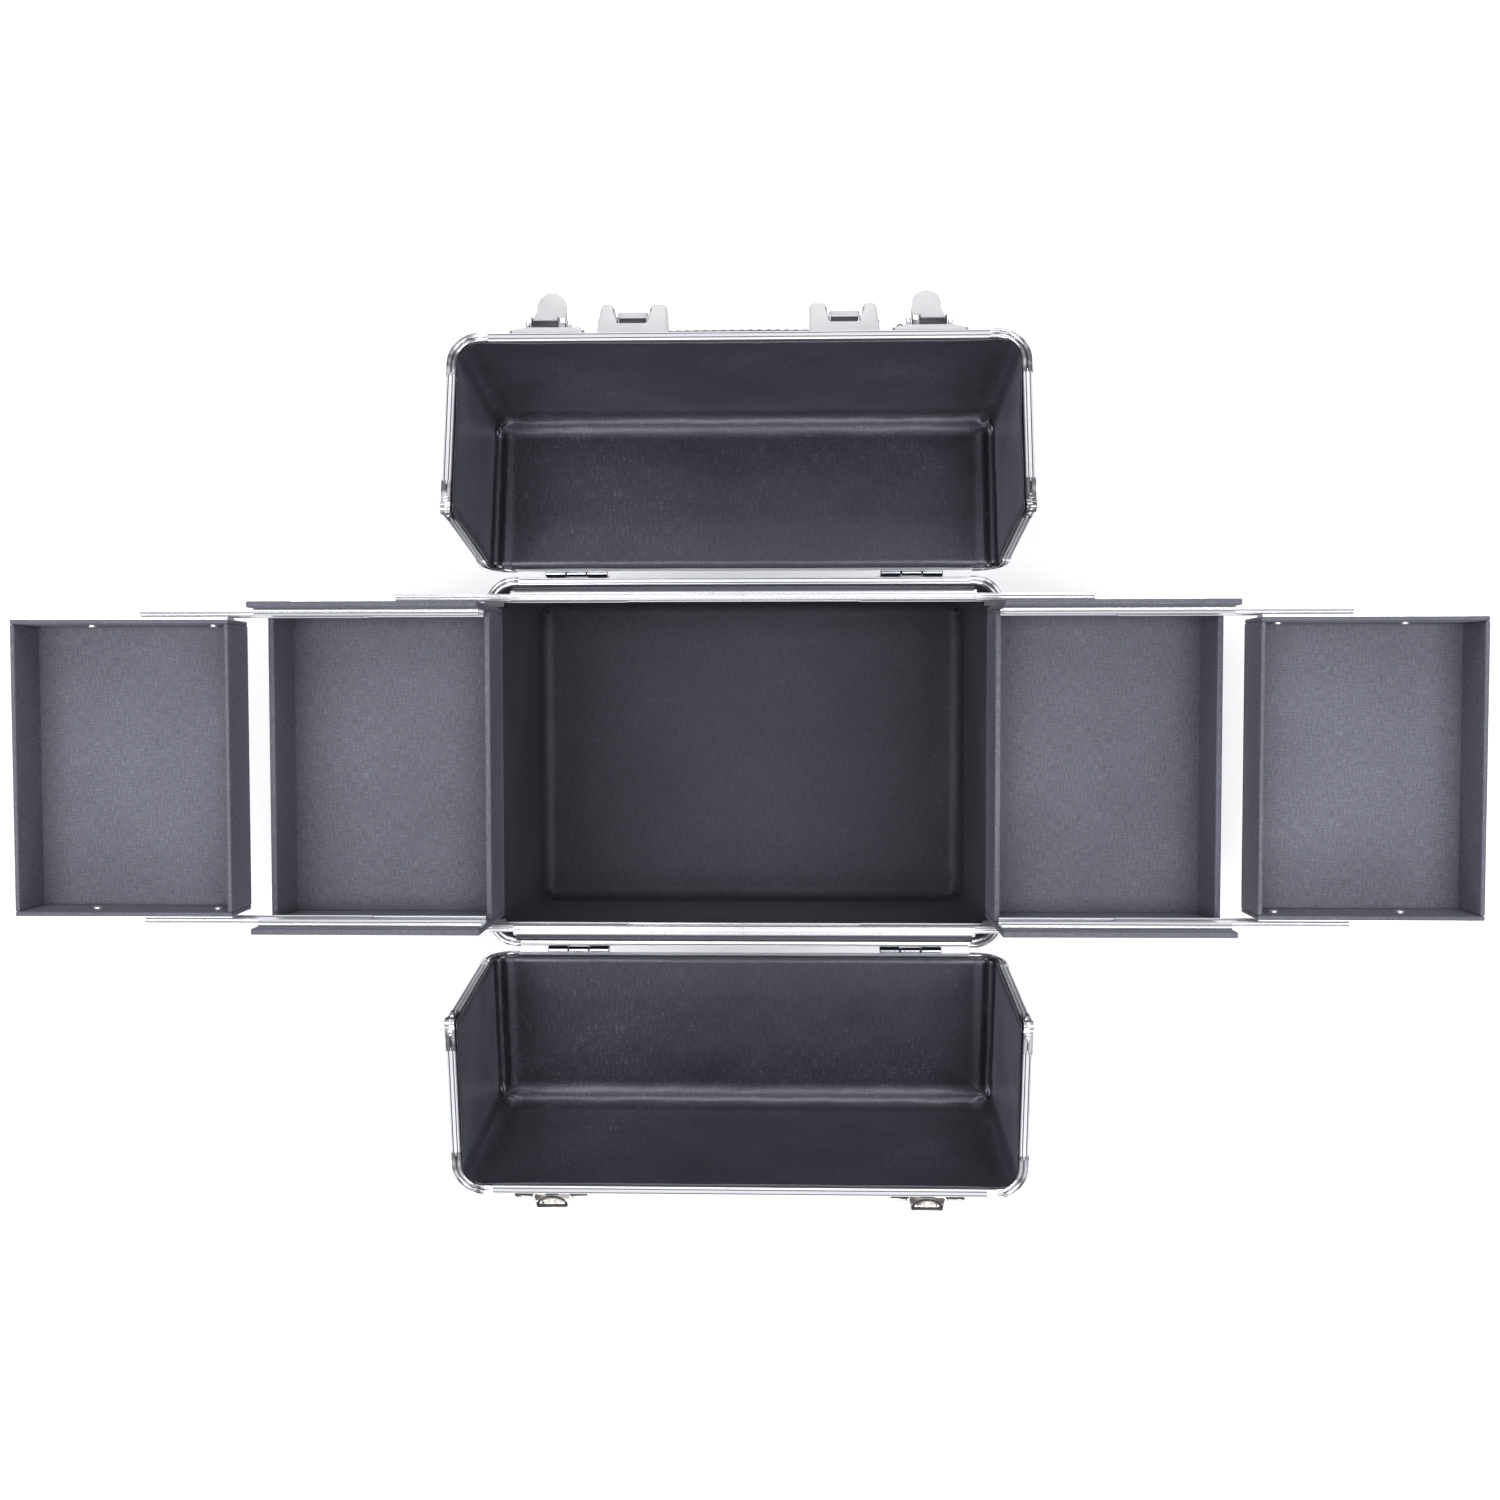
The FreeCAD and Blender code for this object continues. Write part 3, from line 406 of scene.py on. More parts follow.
def add_sweep(bm, profile, stations):
    """Sweep a closed outline (p, q) along stations of (origin, p direction, q direction)."""
    rings = []
    for origin, p_dir, q_dir in stations:
        rings.append([bm.verts.new(Vector(origin) + p_dir * p + q_dir * q) for p, q in profile])
    count = len(profile)
    for near, far in zip(rings, rings[1:]):
        for i in range(count):
            j = (i + 1) % count
            bm.faces.new((near[i], near[j], far[j], far[i]))
    bm.faces.new(rings[0])
    bm.faces.new(list(reversed(rings[-1])))


def add_lathe(bm, profile, centre, axis, across, segments=24):
    """Turn an outline of (radius, height) about an axis; the outline starts and ends on it."""
    axis = Vector(axis).normalized()
    across = Vector(across).normalized()
    third = axis.cross(across)
    rings = []
    for radius, height in profile:
        base = Vector(centre) + axis * height
        if radius < 1e-6:
            rings.append([bm.verts.new(base)])
            continue
        ring = []
        for step in range(segments):
            angle = 2 * math.pi * step / segments
            out = across * math.cos(angle) + third * math.sin(angle)
            ring.append(bm.verts.new(base + out * radius))
        rings.append(ring)
    for near, far in zip(rings, rings[1:]):
        for i in range(segments):
            j = (i + 1) % segments
            corners = (near[i % len(near)], near[j % len(near)],
                       far[j % len(far)], far[i % len(far)])
            unique = list(dict.fromkeys(corners))
            if len(unique) > 2:
                bm.faces.new(unique)


def corner_arc(centre, start, end, steps=12):
    """Points and inward directions round a case corner, from direction start to end."""
    made = []
    for step in range(steps + 1):
        angle = math.pi / 2 * step / steps
        out = start * math.cos(angle) + end * math.sin(angle)
        made.append((Vector(centre) + out * CORNER, -out))
    return made


def ridged(width, leg):
    """Section of a rim extrusion: width over the board's edge, leg down its outside face."""
    w = width
    return [(0, -leg), (0, -1.1), (0.35, -0.35), (0.8, 0), (1.1, 0), (1.3, -0.6), (1.6, -0.6),
            (1.8, 0), (w - 1.9, -0.15), (w - 1.7, -0.65), (w - 1.4, -0.65), (w - 1.2, -0.1),
            (w - 0.5, -0.15), (w - 0.1, -0.6), (w, -1.2), (w, -2.5), (1.5, -2.5), (1.5, -leg)]


def beaded(width, leg, rise):
    """Section of a chrome corner: two round beads with a groove between them."""
    points = [(-rise, -leg)]
    middle = width * 0.5
    beads = ((middle * 0.5 - rise * 0.5, middle * 0.5 + rise * 0.5), (middle * 1.5, middle * 0.5))
    for centre, radius in beads:
        for step in range(7):
            angle = math.pi * (1 - step / 6)
            points.append((centre + radius * math.cos(angle), rise - 1.1 + 1.1 * math.sin(angle)))
    points += [(width, -2.5), (1.5, -2.5), (1.5, -leg)]
    return points


def groove_shade_line(at, level, half=0.3):
    """Section of a near-black strip of painted shade at the bottom of a groove, at one distance
    across a rim.
    """
    return [(at - half, level - 0.8), (at - half, level), (at + half, level),
            (at + half, level - 0.8)]


def knuckle(radius, half, rounding=0.7):
    """Outline of a barrel with rounded ends, for add_lathe."""
    cut = rounding * 0.3
    end = [(radius, half - rounding), (radius - cut, half - cut), (radius - rounding, half),
           (0, half)]
    return [(x, -y) for x, y in reversed(end)] + end


def screw_head(bm, centre, axis, across, radius, height):
    """A domed screw head with a round recess."""
    profile = [(0, height * 0.35), (radius * 0.32, height * 0.35), (radius * 0.36, height * 0.95),
               (radius * 0.6, height), (radius * 0.88, height * 0.62), (radius, 0.0), (0, 0.0)]
    add_lathe(bm, profile, centre, axis, across, 20)


# ------------------------ lids

def lid_map(side):
    """The map from a lid's own measure to the world."""
    return lambda v: lid_point(side, v)


def lid_rims(word, side):
    """Rim extrusions in satin aluminium and the chrome pieces that join them, with near-black
    strips of painted shade in their grooves.
    """
    body = word + "_lid"
    round_a = HINGE_GAP + CORNER
    round_b = LID_TOP - CORNER
    section = ridged(SHELL, 7.0)
    rails = bmesh.new()
    chrome = bmesh.new()
    lines = bmesh.new()
    cover = beaded(SHELL + 0.2, 8.0, 0.45)

    def add_cover(stations):
        add_sweep(chrome, cover, stations)
        for at in (SHELL * 0.5 - 0.1, SHELL + 0.15):
            add_sweep(lines, groove_shade_line(at, -0.1), stations)
        add_sweep(lines, groove_shade_line(-0.42, -1.1, 0.12), stations)

    def add_rail(profile, stations):
        add_sweep(rails, profile, stations)
        for at in (1.45, SHELL - 1.55):
            add_sweep(lines, groove_shade_line(at, -0.35, 0.16), stations)

    add_rail(section, [((x, HINGE_GAP, LID_LOW), Y_DIR, -Z_DIR) for x in (-RUN_X, RUN_X)])
    add_rail(ridged(SHELL, 13.0), [((x, SEAM, LID_TOP), -Z_DIR, Y_DIR)
                                   for x in (RUN_X, -RUN_X)])
    for end in (1, -1):
        out = end * X_DIR
        side_x = end * HALF_X
        add_rail(section, [((side_x, a, LID_LOW), -out, -Z_DIR)
                           for a in (round_a + 3, SEAM - 14)])
        add_rail(section, [((side_x, SEAM, b), -out, Y_DIR) for b in (18, round_b - 6)])
        corner = [((end * RUN_X, HINGE_GAP, LID_LOW), Y_DIR, -Z_DIR)]
        corner += [(p, inward, -Z_DIR) for p, inward in
                   corner_arc((end * STRAIGHT_X, round_a, LID_LOW), -Y_DIR, out)]
        corner.append(((side_x, round_a + 5, LID_LOW), -out, -Z_DIR))
        add_cover(corner)
        free = [((side_x, SEAM, round_b - 8), -out, Y_DIR)]
        free += [(p, inward, Y_DIR) for p, inward in
                 corner_arc((end * STRAIGHT_X, SEAM, round_b), out, Z_DIR)]
        free.append(((end * (STRAIGHT_X - 5), SEAM, LID_TOP), -Z_DIR, Y_DIR))
        add_cover(free)
        bend = [((side_x, SEAM - 16, LID_LOW), -out, -Z_DIR),
                ((side_x, SEAM, LID_LOW), -out, Y_DIR - Z_DIR),
                ((side_x, SEAM, LID_LOW + 20), -out, Y_DIR)]
        add_cover(bend)
        middle = side_x - out.x * SHELL * 0.5
        add_lathe(chrome, knuckle(3.4, SHELL * 0.5 + 0.4), (middle, SEAM - 2.4, LID_LOW + 2.4),
                  X_DIR, Y_DIR, 20)
        add_block(chrome, middle, 3.3, (SEAM - 1.5, LID_LOW + 4.0), (SEAM + 0.5, LID_LOW + 6.0),
                  0.5)
        screw_head(chrome, (middle, SEAM + 0.2, LID_LOW + 8), Y_DIR, X_DIR, 2.2, 1.1)
        screw_head(chrome, (middle, SEAM - 8, LID_LOW - 0.2), -Z_DIR, X_DIR, 2.2, 1.1)
        add_ball_corner(chrome, end, round_a, round_b)
    piece(word + "_lid_rim_extrusions", rails, RAIL_LID[side], body, (word + "_lid_rim_rails",),
          lid_map(side), 30)
    piece(word + "_lid_chrome_corners", chrome, CHROME, body, (word + "_lid_corner_pieces",),
          lid_map(side), 50)
    piece(word + "_lid_rim_groove_shade", lines, PAINTED_SHADE_DARK, body, (), lid_map(side), 30)


def quarter_section(legs=6.0, thick=1.5):
    """Outline of a quarter-round edge extrusion: grooved outside, with a leg over each board."""
    outer = [(-legs, CORNER - 0.15), (-legs + 0.4, CORNER)]
    steps = 24
    for step in range(steps + 1):
        angle = math.pi / 2 * (1 - step / steps)
        radius = CORNER - (0.45 if step in (6, 9, 15, 18) else 0.0)
        outer.append((radius * math.cos(angle), radius * math.sin(angle)))
    outer += [(CORNER, -legs + 0.4), (CORNER - 0.15, -legs)]
    inner = [(CORNER - thick, -legs)]
    for step in range(13):
        angle = math.pi / 2 * step / 12
        inner.append(((CORNER - thick) * math.cos(angle), (CORNER - thick) * math.sin(angle)))
    inner.append((-legs, CORNER - thick))
    return outer + inner


def lid_edges(word, side):
    """Quarter-round extrusions over the edges where the lid's boards meet."""
    bm = bmesh.new()
    section = quarter_section()
    a, b = HINGE_GAP + CORNER, LID_TOP - CORNER
    for end in (1, -1):
        out = end * X_DIR
        x = end * STRAIGHT_X
        add_sweep(bm, section, [((x, a, z), out, -Y_DIR) for z in (LID_LOW + 7.5, b)])
        add_sweep(bm, section, [((x, y, b), out, Z_DIR) for y in (a, SEAM - 7.5)])
    add_sweep(bm, section, [((x, a, b), Z_DIR, -Y_DIR) for x in (-STRAIGHT_X, STRAIGHT_X)])
    piece(word + "_lid_edge_extrusions", bm, RAIL_LID[side], word + "_lid",
          (word + "_lid_edge_rails",), lid_map(side), 25)


def add_ball_corner(bm, end, a, b):
    """Chrome cap where three round edges meet: an eighth of a thin ball and three flanges."""
    steps = 10
    grid = []
    for i in range(steps + 1):
        tilt = math.pi / 2 * i / steps
        turns = [math.pi / 2 * j / steps for j in range(steps + 1)]
        grid.append([Vector((end * math.cos(tilt) * math.cos(turn),
                             -math.cos(tilt) * math.sin(turn), math.sin(tilt))) for turn in turns])
    centre = Vector((end * STRAIGHT_X, a, b))
    outer, inner = [[[bm.verts.new(centre + out * radius) for out in row] for row in grid]
                    for radius in (CORNER + 0.4, CORNER - 1.4)]
    for i in range(steps):
        for j in range(steps):
            bm.faces.new((outer[i][j], outer[i + 1][j], outer[i + 1][j + 1], outer[i][j + 1]))
            bm.faces.new((inner[i][j], inner[i][j + 1], inner[i + 1][j + 1], inner[i + 1][j]))
    rim = [(0, j) for j in range(steps)] + [(i, steps) for i in range(steps)]
    rim += [(steps, j) for j in range(steps, 0, -1)] + [(i, 0) for i in range(steps, 0, -1)]
    for (i, j), (k, m) in zip(rim, rim[1:] + rim[:1]):
        bm.faces.new((outer[i][j], outer[k][m], inner[k][m], inner[i][j]))
    shell = [v for row in outer + inner for v in row]
    bmesh.ops.remove_doubles(bm, verts=shell, dist=0.01)
    flange = 6.4
    low_x, high_x = sorted((end * (STRAIGHT_X - flange), end * (STRAIGHT_X + 1.0)))
    skin_low, skin_high = sorted((end * (HALF_X - 1.4), end * (HALF_X + 0.3)))
    wall_a, roof_b = a - CORNER, b + CORNER
    add_box(bm, (skin_low, a - 1.0, b - flange), (skin_high, a + flange, b + 1.0), 0.4)
    add_box(bm, (low_x, wall_a - 0.3, b - flange), (high_x, wall_a + 1.4, b + 1.0), 0.4)
    add_box(bm, (low_x, a - 1.0, roof_b - 1.4), (high_x, a + flange, roof_b + 0.3), 0.4)


def pucker(point, scale, seed):
    """Smooth noise at one place, for fabric that isn't quite flat."""
    return noise.noise(Vector(point) / scale + Vector((seed * 17.3, seed * 5.1, 0)))


def spaced(low, high, fine_low, fine_high, fine=1.7, coarse=6.0, zone=17.0):
    """Places along one side of a lining: close together near its creases."""
    marks = [low]
    while marks[-1] < high - fine * 0.6:
        near_low = fine_low and marks[-1] - low < zone
        near_high = fine_high and high - marks[-1] < zone + coarse
        marks.append(marks[-1] + (fine if near_low or near_high else coarse))
    marks[-1] = high
    return marks


def box_skin(low, high, closed):
    """The inner faces of an open box, as fine grids joined at the creases, facing inwards."""
    bm = bmesh.new()
    marks = [spaced(low[k], high[k], (k, -1) in closed, (k, 1) in closed) for k in range(3)]
    for axis, sign in closed:
        first, second = [k for k in range(3) if k != axis]
        at = high[axis] if sign > 0 else low[axis]
        grid = []
        for u in marks[first]:
            row = []
            for v in marks[second]:
                place = Vector()
                place[axis], place[first], place[second] = at, u, v
                row.append(bm.verts.new(place))
            grid.append(row)
        for near, far in zip(grid, grid[1:]):
            for j in range(len(near) - 1):
                face = bm.faces.new((near[j], near[j + 1], far[j + 1], far[j]))
                face.normal_update()
                if face.normal[axis] * sign > 0:
                    face.normal_flip()
    bmesh.ops.remove_doubles(bm, verts=bm.verts[:], dist=0.01)
    return bm


def round_crease(radius, along):
    """Move of a point on a flat, a distance along from a crease, onto the crease's round.

    Returns the move away from the other wall and the move away from its own wall.
    """
    angle = (1.0 - along / radius) * math.pi / 4
    return radius * (1 - math.sin(angle)) - along, radius * (1 - math.cos(angle))


def shape_lining(bm, low, high, closed, radii, swell, roll, seed):
    """Round the creases, swell the flats, raise a soft roll beside each crease, add wrinkles."""
    moves = []
    for vertex in bm.verts:
        point = vertex.co
        gaps = {}
        for axis, sign in closed:
            gap = abs((high if sign > 0 else low)[axis] - point[axis])
            if axis not in gaps or gap < gaps[axis][0]:
                gaps[axis] = (gap, -sign)
        move = Vector()
        for (first, second), radius in radii.items():
            near, far = gaps[first], gaps[second]
            if min(near[0], far[0]) > 0.01 or max(near[0], far[0]) > radius:
                continue
            if near[0] < far[0]:
                first, second, near, far = second, first, far, near
            slide, lift = round_crease(radius, near[0])
            move[first] += near[1] * slide
            move[second] += far[1] * lift
        order = sorted(gaps, key=lambda k: gaps[k][0])
        own, crease = order[0], gaps[order[1]][0]
        corner = gaps[order[2]][0] if len(order) > 2 else 200.0
        flat = math.sin(min(1.0, crease / 45.0) * math.pi / 2)
        beside = math.exp(-((crease - 9.0) / 3.0) ** 2) if order[:2] == [1, 0] else 0.0
        near_corner = 0.35 + math.exp(-corner / 30.0)
        fold = pucker(point, 11.0, seed) * math.exp(-crease / 14.0) * near_corner
        wave = pucker(point, 48.0, seed + 3) + 0.5 * pucker(point, 21.0, seed + 5)
        lift = swell * flat + roll * beside + 1.1 * fold + 0.55 * wave * flat
        move[own] += gaps[own][1] * max(lift, 0.0)
        moves.append(move)
    for vertex, move in zip(bm.verts, moves):
        vertex.co += move


def add_skin(lining, thickness_mm=0.8):
    """Give a lining its cloth thickness, behind the face that shows."""
    shell = lining.modifiers.new("thickness", "SOLIDIFY")
    shell.thickness = thickness_mm * MM
    shell.offset = -1.0


LID_CREASES = {(0, 1): 5.5, (1, 2): 16.0, (0, 2): 14.0}


def lid_lining(word, side):
    """Satin glued into a lid."""
    low = (-(HALF_X - SHELL - 0.3), HINGE_GAP + SHELL + 0.3, LID_LOW + 0.4)
    high = (HALF_X - SHELL - 0.3, SEAM - 0.6, LID_TOP - SHELL - 0.3)
    closed = ((0, 1), (0, -1), (1, -1), (2, 1))
    bm = box_skin(low, high, closed)
    shape_lining(bm, low, high, closed, LID_CREASES, 1.8, 1.5, side + 2)
    lining = piece(word + "_lid_satin", bm, SATIN_NAVY, word + "_lid", (word + "_lid_lining",),
                   lid_map(side), 180, turn=False)
    add_skin(lining)


def lids():
    """Rims, edges and linings of both lids."""
    for word, side in LIDS:
        lid_rims(word, side)
        lid_edges(word, side)
        lid_lining(word, side)


# ------------------------ case body

def corner_stations(end, side, z, q_dir):
    """Round one corner of a rim loop at height z, with a short straight at both ends."""
    out_x, out_y = end * X_DIR, side * Y_DIR
    straight = 3.0
    centre = (end * STRAIGHT_X, side * STRAIGHT_Y, z)
    stations = [((end * (STRAIGHT_X - straight), side * HALF_Y, z), -out_y, q_dir)]
    stations += [(p, inward, q_dir) for p, inward in corner_arc(centre, out_y, out_x)]
    stations.append(((end * HALF_X, side * (STRAIGHT_Y - straight), z), -out_x, q_dir))
    return stations


def case_rims():
    """Rim extrusions of the case body, and the chrome corners at the rim and at the base, with
    near-black strips of painted shade in their grooves.
    """
    rails = bmesh.new()
    chrome = bmesh.new()
    lines = bmesh.new()
    section = ridged(SHELL, 14.0)
    cover = beaded(SHELL + 0.1, 14.0, 0.4)
    for side in (1, -1):
        long_run = [((x, side * HALF_Y, RIM_Z), -side * Y_DIR, Z_DIR) for x in (-RUN_X, RUN_X)]
        short_run = [((side * HALF_X, y, RIM_Z), -side * X_DIR, Z_DIR) for y in (-RUN_Y, RUN_Y)]
        for stations in (long_run, short_run):
            add_sweep(rails, section, stations)
            for at in (1.45, SHELL - 1.55):
                add_sweep(lines, groove_shade_line(at, -0.3, 0.2), stations)
    for z, q_dir in ((RIM_Z - 0.4, Z_DIR), (BASE_Z + 0.4, -Z_DIR)):
        for end in (1, -1):
            for side in (1, -1):
                stations = corner_stations(end, side, z, q_dir)
                add_sweep(chrome, cover, stations)
                for at in (SHELL * 0.5 - 0.1, SHELL):
                    add_sweep(lines, groove_shade_line(at, -0.1, 0.4), stations)
                add_sweep(lines, groove_shade_line(-0.3, -1.0, 0.2), stations)
    piece("case_rim_extrusions", rails, RAIL_X, "case", ("case_rim_rails",),
          smooth=30)
    piece("case_chrome_corners", chrome, CHROME, "case", ("case_corner_caps",),
          smooth=50)
    piece("case_rim_groove_shade", lines, PAINTED_SHADE_DARK, "case", (), smooth=30)


def case_inside():
    """Cloth lining with its floor pad, and the covered boards that carry the lower slides."""
    low = (-(HALF_X - SHELL - 0.3), -(HALF_Y - SHELL - 0.3), BASE_Z + 6.7)
    high = (HALF_X - SHELL - 0.3, HALF_Y - SHELL - 0.3, RIM_Z - 1.2)
    closed = ((0, 1), (0, -1), (1, 1), (1, -1), (2, -1))
    bm = box_skin(low, high, closed)
    creases = {(0, 1): 15.5, (1, 2): 12.0, (0, 2): 12.0}
    shape_lining(bm, low, high, closed, creases, 0.6, 0.0, 9)
    lining = piece("case_cloth_lining", bm, SLATE_FLAT, "case", ("case_lining",),
                   smooth=180, turn=False)
    add_skin(lining)
    boards = bmesh.new()
    board_low, board_high = cad_box("slide_boards")
    inner = HALF_Y - SHELL - 5.0
    for side in (1, -1):
        near, far = sorted((side * inner, side * (inner + 2.9)))
        add_box(boards, (board_low.x, near, board_low.z), (board_high.x, far, board_high.z), 1.4, 4)
    piece("slide_board_covers", boards, SATIN_NAVY, "case", ("slide_boards",),
          smooth=60)


def feet():
    """Four round rubber feet, each with a screw hole."""
    bm = bmesh.new()
    profile = [(0, 7.5), (10, 7.5), (10, 2.2), (9.6, 0.9), (8.6, 0.2), (7.2, 0.0), (3.4, 0.0),
               (3.0, 1.0), (0, 1.0)]
    for x in (-FOOT_X, FOOT_X):
        for y in (-FOOT_Y, FOOT_Y):
            add_lathe(bm, profile, (x, y, 0), Z_DIR, X_DIR, 28)
    piece("rubber_feet", bm, RUBBER, "case", ("case_feet",))


# ------------------------ trays

def tray(word, wall):
    """Cloth-wrapped floor, end walls and side walls, from the CAD pieces' own boxes."""
    for part in ("floor", "end", "side"):
        node = word + ("_floor" if part == "floor" else "_%s_walls" % part)
        low, high = cad_box(node)
        bm = bmesh.new()
        if part == "floor":
            add_box(bm, low, high, 0.5, 4)
        elif part == "end":
            add_box(bm, low, (low.x + wall, high.y, high.z), CLOTH_EDGE, 4)
            add_box(bm, (high.x - wall, low.y, low.z), high, CLOTH_EDGE, 4)
        else:
            add_box(bm, low, (high.x, low.y + wall, high.z), CLOTH_EDGE, 4)
            add_box(bm, (low.x, high.y - wall, low.z), high, CLOTH_EDGE, 4)
        piece("%s_%s_cloth" % (word, part), bm, SLATE_CLOTH, word, (node,),
              smooth=60)


def trays():
    """A lower and an upper tray at each end."""
    for word, _ in ENDS:
        tray(word + "_lower_tray", LOW_WALL)
        tray(word + "_upper_tray", UP_WALL)


# ------------------------ slides

def channel_section(width, height, thick):
    """Outline of a rolled C section with a ball race in each flange, mouth towards +p."""
    t = thick / 2
    half = height / 2
    upper = [(width - t, half - 1.9), (width - 0.8, half - t - 0.2), (width * 0.70, half - t),
             (width * 0.58, half - t - 0.45), (width * 0.44, half - t - 0.45),
             (width * 0.32, half - t), (t + 0.9, half - t), (t + 0.25, half - t - 0.3),
             (t, half - t - 1.1)]
    path = [Vector(p) for p in upper] + [Vector((p, -q)) for p, q in reversed(upper)]
    outer, inner = [], []
    for i, point in enumerate(path):
        ahead = path[min(i + 1, len(path) - 1)] - path[max(i - 1, 0)]
        normal = Vector((-ahead.y, ahead.x)).normalized()
        outer.append(point - normal * t)
        inner.append(point + normal * t)
    return outer + inner[::-1]


def channels(name, node, body, width, thick, split=0.0):
    """Rolled slide members in the box of a CAD node, one each side. split parts them at x = 0."""
    low, high = cad_box(node)
    section = channel_section(width, high.z - low.z, thick)
    spans = [(low.x, -split), (split, high.x)] if split else [(low.x, high.x)]
    bm = bmesh.new()
    for side in (1, -1):
        for span in spans:
            add_sweep(bm, section, [((x, side * high.y, (low.z + high.z) / 2),
                                     -side * Y_DIR, Z_DIR) for x in span])
    piece(name, bm, SLIDE_STEEL, body, (node,), smooth=35)


def slides():
    """Fixed and middle members of the lower and upper slides."""
    channels("lower_slide_channels", "lower_slide_rails", "case", 7.0, 1.2, 0.2)
    for word, _ in ENDS:
        for part, node, body, width, thick in (
                ("_lower_runner", "_lower_runners", "_lower_runner", 5.5, 1.0),
                ("_upper_slide", "_upper_slide_rails", "_lower_tray", 5.1, 1.0),
                ("_upper_runner", "_upper_runners", "_upper_runner", 3.8, 0.8)):
            channels(word + part + "_channels", word + node, word + body, width, thick)


# ------------------------ handle, latches, catches

def add_plate(bm, outline, centre, turn, a_low, a_high, rounding):
    """A plate with rounded edges: its outline is in x and b, about a centre; turn mirrors it."""
    near, far = [[bm.verts.new((centre + turn * x, a, b)) for x, b in outline]
                 for a in (a_low, a_high)]
    made = [bm.faces.new(near), bm.faces.new(far[::-1])]
    count = len(outline)
    for i in range(count):
        j = (i + 1) % count
        made.append(bm.faces.new((near[i], far[i], far[j], near[j])))
    rims = [e for face in made[:2] for e in face.edges]
    bmesh.ops.bevel(bm, geom=rims, offset=rounding, segments=3, profile=0.5, affect="EDGES",
                    clamp_overlap=True)


def arc_points(x, b, radius, start, end, steps):
    """Points (x, b) on an arc, angles in degrees from +x towards +b."""
    made = []
    for step in range(steps + 1):
        angle = math.radians(start + (end - start) * step / steps)
        made.append((x + radius * math.cos(angle), b + radius * math.sin(angle)))
    return made


def handle_brackets():
    """Moulded fork brackets: the outer side of each slopes, and the ears have round tops."""
    bm = bmesh.new()
    pins = bmesh.new()
    top = HANDLE_B + EAR
    for end in (1, -1):
        outline = [(-22.0, LID_TOP), (-21.8, top - 2.6), (-20.9, top - 0.7), (-19.0, top),
                   (-14.0, top), (-12.0, top - 0.9), (-11.0, top - 3.0), (-10.8, LID_TOP + 5.4),
                   (10.8, LID_TOP + 5.4), (11.0, top - 3.0), (12.0, top - 0.9), (14.0, top),
                   (17.2, top), (18.9, top - 0.9), (19.8, top - 3.0), (22.0, LID_TOP)]
        add_plate(bm, outline, end * BRACKET_X, end, HANDLE_A - EAR, HANDLE_A + EAR, 1.3)
        for out in (1, -1):
            cap_x = end * BRACKET_X + out * 20.9
            add_lathe(pins, [(0, 0), (2.6, 0), (2.6, 0.5), (2.1, 1.0), (0, 1.1)],
                      (cap_x, HANDLE_A, HANDLE_B), (out, 0, 0), Y_DIR, 20)
        add_lathe(pins, knuckle(2.0, 20.5, 0.3), (end * BRACKET_X, HANDLE_A, HANDLE_B), X_DIR,
                  Y_DIR, 16)
    piece("handle_fork_brackets", bm, GREY_PAINT, "back_lid", ("back_lid_handle_brackets",),
          lid_map(1))
    piece("handle_pins", pins, CHROME, "back_lid", (), lid_map(1))


def handle():
    """Two chrome straps on the pins, and a ribbed soft grip hanging from them."""
    _, y, z = lid_point(1, (0, HANDLE_A, HANDLE_B))
    grip_z = z - HANDLE_DROP
    straps, slot_shade, heads, grip = [bmesh.new() for _ in range(4)]
    for end in (1, -1):
        x = end * BRACKET_X
        add_lathe(straps, knuckle(3.9, 10.2, 1.0), (x, y, z), X_DIR, Y_DIR, 28)
        add_block(straps, x, 9.6, (y - 1.9, grip_z + 7.4), (y + 1.9, z), 0.9, 3)
        for frame_y in (y - 2.9, y + 1.7):
            add_block(heads, x, 9.9, (frame_y, z), (frame_y + 1.2, z + 4.3), 0.5)
        for frame_x in (x - 9.1, x + 9.1):
            add_block(straps, frame_x, 0.8, (y - 2.4, z), (y + 2.9, z + 4.3), 0.5)
        # Near-black blocks in the strap's slot and in the gap behind it: painted shade.
        add_block(slot_shade, x, 9.0, (y - 1.5, z + 1.0), (y + 1.9, z + 4.15), 0.3)
        add_block(slot_shade, x, 10.2, (y - 4.3, z - 1.0), (y - 3.1, z + 2.4), 0.3)
        add_block(heads, x, 9.4, (y + 2.8, z - 2.5), (y + 6.3, z + 1.9), 1.0, 3)
    half, steps = 77.0, 76
    outline = [(0, -79.5), (6.4, -79.5), (7.6, -78.6), (8.0, -half)]
    for step in range(1, steps):
        x = -half + step * 2 * half / steps
        rib = 0.28 * math.cos(x * math.pi / 3.0) if abs(x) < 50 else 0.0
        outline.append((8.0 + 0.7 * math.cos(x / half * math.pi / 2) + rib, x))
    outline += [(8.0, half), (7.6, 78.6), (6.4, 79.5), (0, 79.5)]
    add_lathe(grip, outline, (0, y, grip_z), X_DIR, Y_DIR, 32)
    piece("handle_straps", straps, STRAP_CHROME, "handle", ("handle_links",))
    piece("handle_strap_slot_shade", slot_shade, PAINTED_SHADE_DARK, "handle", ())
    piece("handle_strap_heads", heads, GREY_PAINT, "handle", ())
    piece("handle_soft_grip", grip, GRIP, "handle", ("handle_grip",))


